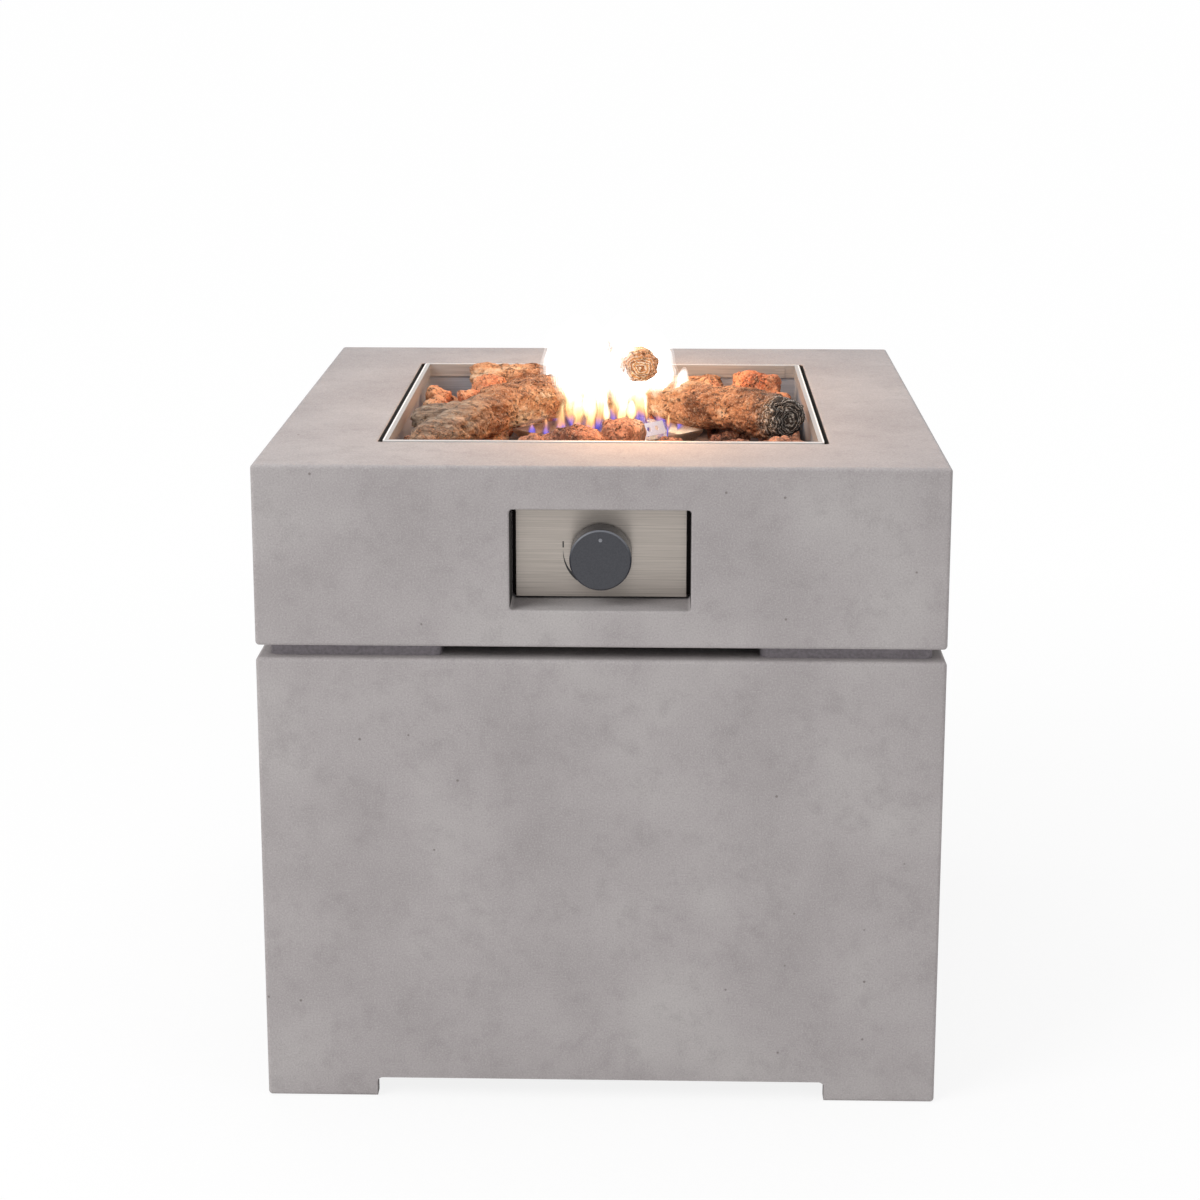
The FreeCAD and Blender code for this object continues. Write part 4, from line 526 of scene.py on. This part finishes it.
class FIREPIT_OT_controls(bpy.types.Operator):
    """Gives the control plate and the knob their finishes and prints the dial marks"""
    bl_idname = "firepit.controls"
    bl_label = "Control plate and knob"

    def execute(self, context):
        settings = context.scene.firepit_controls
        # Stainless sheet, brushed along its length: warm grey, light drawn out up and down, painted shade on
        # its folds
        paint("control_plate", brushed_sheet(
            "brushed_stainless_plate", settings.plate_colour, "#aaa29a", "X", 0.55 * MM, 0.36, across=0.9,
            dark_behind=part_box("control_plate")[0].y + 0.5 * MM))
        paint("knob", moulded_knob(settings.knob_colour))
        # Ink, pad printed: mid grey, a little paler than the knob
        paint("knob_pointer", speckled("pad_printed_pointer", "#83848a", "#77787e", 2 * MM, 0.45))
        # Ink, screen printed on the plate: flat near black
        ink = speckled("screen_print_ink", settings.print_colour, "#39393b", 1.5 * MM, 0.6, depth=0.01 * MM)
        low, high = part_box("knob")
        centre = Vector((0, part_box("control_plate")[0].y, (low.z + high.z) / 2))
        for piece in (print_wedge(centre, settings.dial_radius), print_number(centre, settings.dial_radius)):
            piece.data.materials.clear()
            piece.data.materials.append(ink)
            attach(piece, "top")
        return {"FINISHED"}


INK_DEPTH = 0.06 * MM      # drawn thicker than real ink, so that it clears the plate
WEDGE_SIDES = 180          # of the full circle
WEDGE_FROM, WEDGE_TO = 180, 230      # degrees from the right, anticlockwise
WEDGE_WIDEN = (0.2 * MM, 0, 3.0 * MM)      # from the outer arc to the inner one
NUMBER_SIZE = 7.5 * MM
NUMBER_BOLD = 0.25 * MM


def print_wedge(centre, radius):
    """The printed arc that widens from low to high: two arcs of slightly different centres, bridged."""
    bpy.ops.object.select_all(action="DESELECT")
    bpy.ops.mesh.primitive_circle_add(vertices=WEDGE_SIDES, radius=radius, fill_type="NOTHING",
                                      location=centre, rotation=(math.pi / 2, 0, 0))
    piece = bpy.context.active_object
    piece.name = "dial_wedge"
    bpy.ops.object.transform_apply(location=True, rotation=True, scale=True)
    bpy.ops.object.mode_set(mode="EDIT")
    mesh = bmesh.from_edit_mesh(piece.data)
    outside = []
    for vertex in mesh.verts:
        angle = math.degrees(math.atan2(vertex.co.z - centre.z, vertex.co.x - centre.x)) % 360
        if not WEDGE_FROM <= angle <= WEDGE_TO:
            outside.append(vertex)
    bmesh.ops.delete(mesh, geom=outside, context="VERTS")
    bmesh.update_edit_mesh(piece.data)
    bpy.ops.mesh.select_all(action="SELECT")
    bpy.ops.mesh.extrude_edges_move()
    bpy.ops.transform.translate(value=WEDGE_WIDEN)
    bpy.ops.mesh.select_all(action="SELECT")
    bpy.ops.mesh.extrude_region_move(TRANSFORM_OT_translate={"value": (0, -INK_DEPTH, 0)})
    bpy.ops.mesh.select_all(action="SELECT")
    bpy.ops.mesh.normals_make_consistent(inside=False)
    bpy.ops.object.mode_set(mode="OBJECT")
    return piece


def print_number(centre, radius):
    """A plain figure at the narrow end of the arc."""
    bpy.ops.object.select_all(action="DESELECT")
    place = centre + Vector((-radius * 1.05, -INK_DEPTH / 2, radius * 0.13))
    bpy.ops.object.text_add(location=place, rotation=(math.pi / 2, 0, 0))
    piece = bpy.context.active_object
    piece.name = "dial_number"
    piece.data.body = "1"
    piece.data.size = NUMBER_SIZE
    piece.data.offset = NUMBER_BOLD
    piece.data.extrude = INK_DEPTH / 2
    bpy.ops.object.convert(target="MESH")
    bpy.ops.object.transform_apply(location=True, rotation=True, scale=True)
    return piece


# ---- rock and logs ---------------------------------------------------------------------------------

def merged_copy(node_name):
    """A copy of a frame node with its loose triangles joined."""
    piece = bpy.data.objects.new(node_name + "_detail", NODES[node_name].data.copy())
    bpy.context.scene.collection.objects.link(piece)
    select_only(piece)
    bpy.ops.object.mode_set(mode="EDIT")
    bpy.ops.mesh.select_all(action="SELECT")
    bpy.ops.mesh.remove_doubles(threshold=MERGE_DISTANCE)
    bpy.ops.object.mode_set(mode="OBJECT")
    return piece


def detailed_copy(node_name, voxel, rounding):
    """A finely meshed copy of a frame node, with its facets rounded off."""
    piece = merged_copy(node_name)
    modify(piece, "REMESH", mode="VOXEL", voxel_size=voxel)
    modify(piece, "SMOOTH", factor=0.6, iterations=rounding)
    return piece


def relief_texture(name, kind, size, stops=None):
    """A procedural height for a displacement, with its feature size in metres."""
    texture = bpy.data.textures.new(name, kind)
    texture.noise_scale = size
    if kind == "CLOUDS":
        texture.noise_depth = 3
    if stops:
        texture.use_color_ramp = True
        elements = texture.color_ramp.elements
        for element, (place, height) in zip(elements, stops):
            element.position = place
            element.color = (height, height, height, 1)
    return texture


def displace(piece, texture, height, middle):
    """Moves the surface in and out by a texture. It stays where the texture has the middle value."""
    modify(piece, "DISPLACE", texture=texture, strength=height, mid_level=middle, texture_coords="LOCAL")


def draw_out(piece, share):
    """Scales the whole mesh along X. Relief that is added between two such steps comes out drawn along X."""
    select_only(piece)
    bpy.ops.object.mode_set(mode="EDIT")
    bpy.ops.mesh.select_all(action="SELECT")
    bpy.ops.transform.resize(value=(share, 1, 1), center_override=(0, 0, 0))
    bpy.ops.object.mode_set(mode="OBJECT")


def settle(piece, node_name, body, material):
    """Smooths, paints and seats a finished piece in place of its frame node."""
    select_only(piece)
    bpy.ops.object.shade_smooth()
    piece.data.materials.clear()
    piece.data.materials.append(material)
    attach(piece, body)
    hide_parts(node_name)


class FIREPIT_OT_spring(bpy.types.Operator):
    """Replaces the tap's return spring by a smoothed copy in drawn spring wire, which rides with the upper
    casing
    """
    bl_idname = "firepit.spring"
    bl_label = "Return spring"

    def execute(self, context):
        piece = merged_copy("return_spring")
        # Spring steel wire, drawn: grey with a clear gleam
        wire = speckled("drawn_spring_wire", "#a9abb0", "#8b8d92", 3 * MM, 0.34, 1.0, 0.03 * MM)
        settle(piece, "return_spring", "top", wire)
        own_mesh(piece)
        return {"FINISHED"}


class FIREPIT_OT_rock(bpy.types.Operator):
    """Replaces the faceted lava rock by porous lumps"""
    bl_idname = "firepit.rock"
    bl_label = "Lava rock"

    def execute(self, context):
        settings = context.scene.firepit_bed
        voxel = settings.rock_voxel * 1
        lumps = relief_texture("rock_lumps", "CLOUDS", 19 * MM)
        facets = relief_texture("rock_facets", "VORONOI", 21 * MM)
        pores = relief_texture("rock_pores", "VORONOI", settings.pore_size, [(0.05, 0.0), (0.42, 1.0)])
        grain = relief_texture("rock_grain", "CLOUDS", 3.5 * MM)
        red = (0.2, "#7c3f2a"), (0.36, "#cf7750"), (0.48, "#f0a072"), (0.6, "#f8bb8f"), (0.74, "#fbd8b2")
        brown = (0.24, "#4f3026"), (0.40, "#96604a"), (0.54, "#bf8266"), (0.68, "#d49d80"), (0.8, "#ebc7aa")
        tones = {
            "rock_bed_front": brown, "rock_bed_back": red, "rock_bed_left": red, "rock_bed_right": brown,
            "rocks_back_left": red, "rocks_back_right": red, "rocks_front": brown,
        }
        for name, stops in tones.items():
            piece = detailed_copy(name, voxel, 1)
            displace(piece, lumps, 10 * MM, 0.52)
            displace(piece, facets, 7 * MM, 0.45)
            displace(piece, pores, settings.pore_depth * 1.2, 0.85)
            displace(piece, grain, 1.6 * MM, 0.5)
            # Lava rock, broken and tumbled: rust and brown in ragged patches, with small dark pores
            finish, tone = pitted("lava_" + name, stops, 34 * MM, 3.8 * MM, "#32170f")
            settle(piece, name, "top", finish.material)
        return {"FINISHED"}


class FIREPIT_OT_logs(bpy.types.Operator):
    """Replaces the faceted logs by pitted ceramic bark with burnt ends"""
    bl_idname = "firepit.logs"
    bl_label = "Ceramic logs"

    def execute(self, context):
        settings = context.scene.firepit_bed
        voxel = settings.log_voxel * 1
        knots = relief_texture("bark_knots", "CLOUDS", 22 * MM)
        hollows = relief_texture(
            "bark_hollows", "VORONOI", settings.pore_size * 2.6, [(0.04, 0.0), (0.34, 1.0)])
        pits = relief_texture("bark_pits", "VORONOI", settings.pore_size * 0.9, [(0.04, 0.0), (0.4, 1.0)])
        grain = relief_texture("bark_grain", "CLOUDS", 5 * MM)
        bark = (0.22, "#4a2f22"), (0.36, "#8f5d40"), (0.48, "#c58961"), (0.6, "#dfa97e"), (0.72, "#f4dabb")
        pale_bark = [(place - 0.04, colour) for place, colour in bark]
        for name in ("log_forked", "log_front_right", "log_back_left", "log_back_right", "log_top"):
            piece = detailed_copy(name, voxel, 10)
            displace(piece, knots, 8 * MM, 0.5)
            draw_out(piece, 0.4)
            displace(piece, hollows, 3.5 * MM, 0.9)
            displace(piece, grain, 3.6 * MM, 0.5)
            draw_out(piece, 2.5)
            displace(piece, pits, settings.pore_depth * 1.1, 0.9)
            low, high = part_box(name)
            stops = pale_bark if name == "log_front_right" else bark
            # Ceramic fibre, moulded as bark and coloured by hand: long tan patches, dark pits and cracks
            finish, tone = pitted("ceramic_bark_" + name, stops, 22 * MM, 3.4 * MM, "#33211a", 2.6)
            if name == "log_front_right":
                end = (high.x - 16 * MM, low.y + 16 * MM, (low.z + high.z) / 2)
                charred = (
                    (0.12, "#2c2622"), (0.4, "#5c5149"), (0.55, "#9b9085"), (0.68, "#d8d2ca"),
                    (0.9, "#3c322b"))
                tone = cut_end(finish, tone, end, 34 * MM, 4.5 * MM, charred)
            if name == "log_top":
                end = (high.x - 14 * MM, low.y, (low.z + high.z) / 2 - 2 * MM)
                pale = (0.1, "#d8a574"), (0.35, "#fae3c2"), (0.6, "#fff8ec"), (0.92, "#b8865c")
                tone = cut_end(finish, tone, end, 19 * MM, 6 * MM, pale)
            if name == "log_forked":
                end = (low.x, low.y + 66 * MM, low.z + 20 * MM)
                drawn = finish.stretched((1 / (40 * MM), 1 / (5 * MM), 1 / (5 * MM)))
                streaks = finish.add("TexNoise", {
                    "Vector": drawn, "Scale": 1.0, "Detail": 4.0, "Roughness": 0.65})
                cold = finish.add("ValToRGB", [streaks], stops=(
                    (0.28, "#5d5045"), (0.44, "#9a8473"), (0.58, "#b39d89"), (0.74, "#d2c2b0")))
                share = ragged_spot(finish, end, 78 * MM, 44 * MM)
                tone = finish.add("Mix", (share, tone, cold), data_type="RGBA")
            finish.set("Base Color", tone)
            settle(piece, name, "top", finish.material)
        return {"FINISHED"}


# ---- flames ----------------------------------------------------------------------------------------

# Tongues of flame from the port plate: place in plan, height above it and width, in millimetres
TONGUES = (
    (-50, 44, 96, 34), (-38, 66, 105, 42), (-14, 66, 105, 44), (6, 66, 106, 52), (32, 56, 104, 42),
    (54, 34, 94, 30), (69, 22, 64, 16), (-34, 18, 100, 32), (-12, 8, 102, 34), (12, 28, 102, 32),
    (2, -34, 50, 8), (12, -16, 72, 10), (24, -26, 42, 7), (-16, -24, 62, 13), (-30, -12, 50, 13),
    (40, -4, 44, 9), (-46, -10, 34, 12), (-60, -12, 22, 9), (-73, -8, 13, 7), (58, 0, 24, 9),
)
# Width of a tongue from its foot to its tip, as shares of the widest
TONGUE_OUTLINE = (0.3, 0.46, 0.68, 0.88, 1.0, 0.98, 0.84, 0.58, 0.16)
# Shells of each tongue, from the outside in: share of its width, and how much of what lies behind each hides
TONGUE_SHELLS = ((1.16, 0.03), (1.0, 0.06), (0.84, 0.13), (0.66, 0.3), (0.44, 0.6))
LEAN_SHARE = 0.08          # how far a tip leans, as a share of the tongue's height
LEAN_TURN = 2.4            # radians from one tongue's lean to the next one's


def gas_flame(name, cover):
    """Burning gas: violet at the ports, then pale orange and cream, and white where the veils overlap."""
    finish = Finish(name, 1.0)
    finish.set("Base Color", (0, 0, 0, 1))
    finish.set("Specular IOR Level", 0.0)
    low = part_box("port_plate")[1].z
    top = low + max(tongue[2] for tongue in TONGUES) * MM
    height = finish.add("SeparateXYZ", [finish.place], "Z")
    rise = finish.add("MapRange", (height, low, top))
    drawn_up = finish.stretched((1 / (9 * MM), 1 / (9 * MM), 1 / (70 * MM)))
    streaks = finish.add("TexNoise", {"Vector": drawn_up, "Scale": 1.0, "Detail": 3.0, "Roughness": 0.6})
    sway = finish.add("MapRange", (streaks, 0.3, 0.7, -0.08, 0.08))
    uneven = finish.add("Math", (rise, sway), operation="ADD")
    finish.set("Emission Color", finish.add("ValToRGB", [uneven], stops=(
        (0.0, "#4a3fd0"), (0.08, "#8d7cf0"), (0.17, "#f6a86c"), (0.3, "#ffd9a0"), (0.45, "#fff1dc"),
        (0.6, "#ffffff"))))
    finish.set("Emission Strength", finish.add("MapRange", (rise, 0.1, 0.5, 1.5, 4.0)))
    veil = finish.add("MapRange", (streaks, 0.34, 0.62, cover * 0.25, cover * 1.5))
    body = finish.add("MapRange", (rise, 0.03, 0.42, 0.35, 1.0))
    finish.set("Alpha", finish.add("Math", (veil, body), operation="MULTIPLY"))
    return finish.material


def flame_tongue(foot, height, width, lean):
    """A tongue of flame: a ring drawn upward and narrowed to a tip in steps."""
    bpy.ops.object.select_all(action="DESELECT")
    bpy.ops.mesh.primitive_circle_add(vertices=16, radius=width * TONGUE_OUTLINE[0] / 2, location=foot)
    piece = bpy.context.active_object
    bpy.ops.object.transform_apply(location=True, rotation=True, scale=True)
    bpy.ops.object.mode_set(mode="EDIT")
    bpy.ops.mesh.select_all(action="SELECT")
    steps = len(TONGUE_OUTLINE) - 1
    centre = Vector(foot)
    for before, after in zip(TONGUE_OUTLINE, TONGUE_OUTLINE[1:]):
        move = Vector((lean.x, lean.y, height)) / steps
        centre += move
        bpy.ops.mesh.extrude_edges_move(TRANSFORM_OT_translate={"value": move})
        share = after / before
        bpy.ops.transform.resize(value=(share, share, 1), center_override=centre)
    bpy.ops.mesh.edge_face_add()
    bpy.ops.mesh.select_all(action="SELECT")
    bpy.ops.mesh.normals_make_consistent(inside=False)
    bpy.ops.object.mode_set(mode="OBJECT")
    return piece


class FIREPIT_OT_flames(bpy.types.Operator):
    """Adds the flames of the lit burner, which are light and no solid part"""
    bl_idname = "firepit.flames"
    bl_label = "Flames"

    def execute(self, context):
        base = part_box("port_plate")[1].z + 1 * MM
        waves = relief_texture("flame_waves", "CLOUDS", 30 * MM)
        licks = relief_texture("flame_licks", "CLOUDS", 12 * MM)
        shares = [share for share, cover in TONGUE_SHELLS]
        materials = [gas_flame(f"gas_flame_{cover * 100:.0f}", cover) for share, cover in TONGUE_SHELLS]
        pieces = []
        for index, (x, y, height, width) in enumerate(TONGUES):
            turn = index * LEAN_TURN
            lean = Vector((math.sin(turn), math.cos(turn), 0)) * height * LEAN_SHARE * MM
            for share, material in zip(shares, materials):
                rise = height * MM * (0.8 + 0.2 * share)
                piece = flame_tongue((x * MM, y * MM, base), rise, width * share * MM, lean)
                piece.data.materials.append(material)
                pieces.append(piece)
        bpy.ops.object.select_all(action="DESELECT")
        for piece in pieces:
            piece.select_set(True)
        flames = pieces[0]
        bpy.context.view_layer.objects.active = flames
        bpy.ops.object.join()
        flames.name = "flames"
        modify(flames, "SUBSURF", levels=1)
        displace(flames, waves, 10 * MM, 0.5)
        displace(flames, licks, 5 * MM, 0.5)
        select_only(flames)
        bpy.ops.object.shade_smooth()
        flames.visible_shadow = False
        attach(flames, "top")
        return {"FINISHED"}


# ---- stage -----------------------------------------------------------------------------------------

AIM = (0, 0, 0.35)         # where the soft lamps point
CAMERA_PLACE = (0.0489, -2.2343, 1.0179)
CAMERA_DIP = 11.49         # degrees below level
CAMERA_YAW = 1.45          # degrees to the left
CAMERA_LENS = 69.83        # mm, on a film CAMERA_FILM wide
CAMERA_FILM = 36
CAMERA_SHIFT = -0.15       # keeps upright edges near upright, and the whole object in view from other sides
CAMERA_REACH = 200         # metres, past the floor's far edge


def white_world(strength):
    """Even light from all round, which the camera and mirrors see as plain white."""
    world = bpy.context.scene.world or bpy.data.worlds.new("studio")
    bpy.context.scene.world = world
    world.use_nodes = True
    tree = world.node_tree
    tree.nodes.clear()
    camera, glossy, through = (
        add_node(tree, "LightPath", output=f"Is {ray} Ray") for ray in ("Camera", "Glossy", "Transmission"))
    mirrored = add_node(tree, "Math", (glossy, through), operation="MAXIMUM")
    seen = add_node(tree, "Math", (camera, mirrored), operation="MAXIMUM")
    level = add_node(tree, "MapRange", {"Value": seen, "To Min": strength, "To Max": 1.0})
    background = add_node(tree, "Background", ((1, 1, 1, 1), level))
    add_node(tree, "OutputWorld", [background])


def white_floor(size):
    """A floor that the camera sees as white, apart from the object's soft shadow."""
    bpy.ops.object.select_all(action="DESELECT")
    bpy.ops.mesh.primitive_plane_add(size=size, location=(0, 0, 0))
    floor = bpy.context.active_object
    floor.name = "floor"
    finish = Finish("white_studio_floor", 0.9)
    cloud = finish.add("TexNoise", {"Scale": 1 / 0.33, "Detail": 3.0, "Roughness": 0.6})
    finish.set("Base Color", finish.add("ValToRGB", [cloud], stops=((0.0, "#f4f4f4"), (1.0, "#f8f8f8"))))
    away = finish.add("VectorMath", (finish.place, (0, 0, 0)), operation="DISTANCE")
    away = finish.add("MapRange", (away, 0.5, 1.7, 0.86, 0.99))
    seen = finish.add("LightPath", output="Is Camera Ray")
    share = finish.add("Math", (seen, away), operation="MULTIPLY")
    white = finish.add("Emission")
    mixed = finish.add("MixShader", (share, finish.shader.outputs["BSDF"], white))
    feed(finish.tree.nodes["Material Output"].inputs["Surface"], mixed)
    floor.data.materials.append(finish.material)


def add_lamp(name, kind, place, power, turn=(0, 0, 0)):
    """Adds a lamp of a kind at its place."""
    bpy.ops.object.select_all(action="DESELECT")
    bpy.ops.object.light_add(type=kind, location=place, rotation=turn)
    lamp = bpy.context.active_object
    lamp.name = name
    lamp.data.energy = power
    return lamp


def soft_lamp(name, place, size, power):
    """A square soft lamp turned to the object."""
    turn = (Vector(AIM) - Vector(place)).to_track_quat("-Z", "Y").to_euler()
    add_lamp(name, "AREA", place, power, turn).data.size = size


def glow_lamp(name, place, power):
    """A small warm lamp for the light that the fire sheds. It lifts with the upper casing."""
    lamp = add_lamp(name, "POINT", place, power)
    lamp.data.shadow_soft_size = 60 * MM
    lamp.data.color = linear("#ffbc78")[:3]
    lamp.visible_camera = False
    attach(lamp, "top")


class FIREPIT_OT_stage(bpy.types.Operator):
    """Sets up the floor, the light and the camera"""
    bl_idname = "firepit.stage"
    bl_label = "Stage and camera"

    def execute(self, context):
        settings = context.scene.firepit_stage
        context.scene.view_settings.view_transform = "Standard"
        white_world(settings.sky)
        white_floor(settings.floor_size)
        soft_lamp("key_upper_left", (-2.9, -2.4, 3.1), 2.4, settings.key)
        soft_lamp("fill_right", (3.2, -2.4, 1.8), 2.6, settings.fill)
        soft_lamp("top_overhead", (0, 0.2, 3.4), 2.2, settings.top)
        glow_lamp("fire_glow_front", (0.03, -0.17, 0.68), settings.glow * 0.5)
        glow_lamp("fire_glow_back", (0.02, 0.1, 0.7), settings.glow * 0.7)
        turn = (math.radians(90 - CAMERA_DIP), 0, math.radians(CAMERA_YAW))
        bpy.ops.object.camera_add(location=CAMERA_PLACE, rotation=turn)
        camera = context.active_object
        camera.name = "camera_front"
        camera.data.lens = CAMERA_LENS
        camera.data.sensor_width = CAMERA_FILM
        camera.data.shift_y = CAMERA_SHIFT
        camera.data.clip_end = CAMERA_REACH
        context.scene.camera = camera
        return {"FINISHED"}


# ---- the add-on ------------------------------------------------------------------------------------

GROUPS = {
    "firepit_concrete": ConcreteSettings,
    "firepit_bed": FireBedSettings,
    "firepit_controls": ControlSettings,
    "firepit_stage": StageSettings,
}
OPERATORS = (
    FIREPIT_OT_casings,
    FIREPIT_OT_tray,
    FIREPIT_OT_burner,
    FIREPIT_OT_gas_parts,
    FIREPIT_OT_controls,
    FIREPIT_OT_spring,
    FIREPIT_OT_rock,
    FIREPIT_OT_logs,
    FIREPIT_OT_flames,
    FIREPIT_OT_stage,
)


class FIREPIT_PT_looks(bpy.types.Panel):
    """Lists the pieces and their settings"""
    bl_label = "Fire pit"
    bl_idname = "FIREPIT_PT_looks"
    bl_space_type = "VIEW_3D"
    bl_region_type = "UI"
    bl_category = "Fire pit"

    def draw(self, context):
        for operator in OPERATORS:
            self.layout.operator(operator.bl_idname)
        for name, group in GROUPS.items():
            box = self.layout.box()
            for setting in group.__annotations__:
                box.prop(getattr(context.scene, name), setting)


def register():
    """Makes the settings, the operators and the panel known to Blender."""
    for name, group in GROUPS.items():
        bpy.utils.register_class(group)
        setattr(bpy.types.Scene, name, bpy.props.PointerProperty(type=group))
    for kind in (*OPERATORS, FIREPIT_PT_looks):
        bpy.utils.register_class(kind)


def unregister():
    """Takes them away again."""
    for kind in reversed((*OPERATORS, FIREPIT_PT_looks)):
        bpy.utils.unregister_class(kind)
    for name, group in GROUPS.items():
        delattr(bpy.types.Scene, name)
        bpy.utils.unregister_class(group)


def main():
    """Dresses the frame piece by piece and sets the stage."""
    register()
    bpy.ops.firepit.casings()
    bpy.ops.firepit.tray()
    bpy.ops.firepit.burner()
    bpy.ops.firepit.gas_parts()
    bpy.ops.firepit.controls()
    bpy.ops.firepit.spring()
    bpy.ops.firepit.rock()
    bpy.ops.firepit.logs()
    bpy.ops.firepit.flames()
    bpy.ops.firepit.stage()


if __name__ == "__main__":
    main()
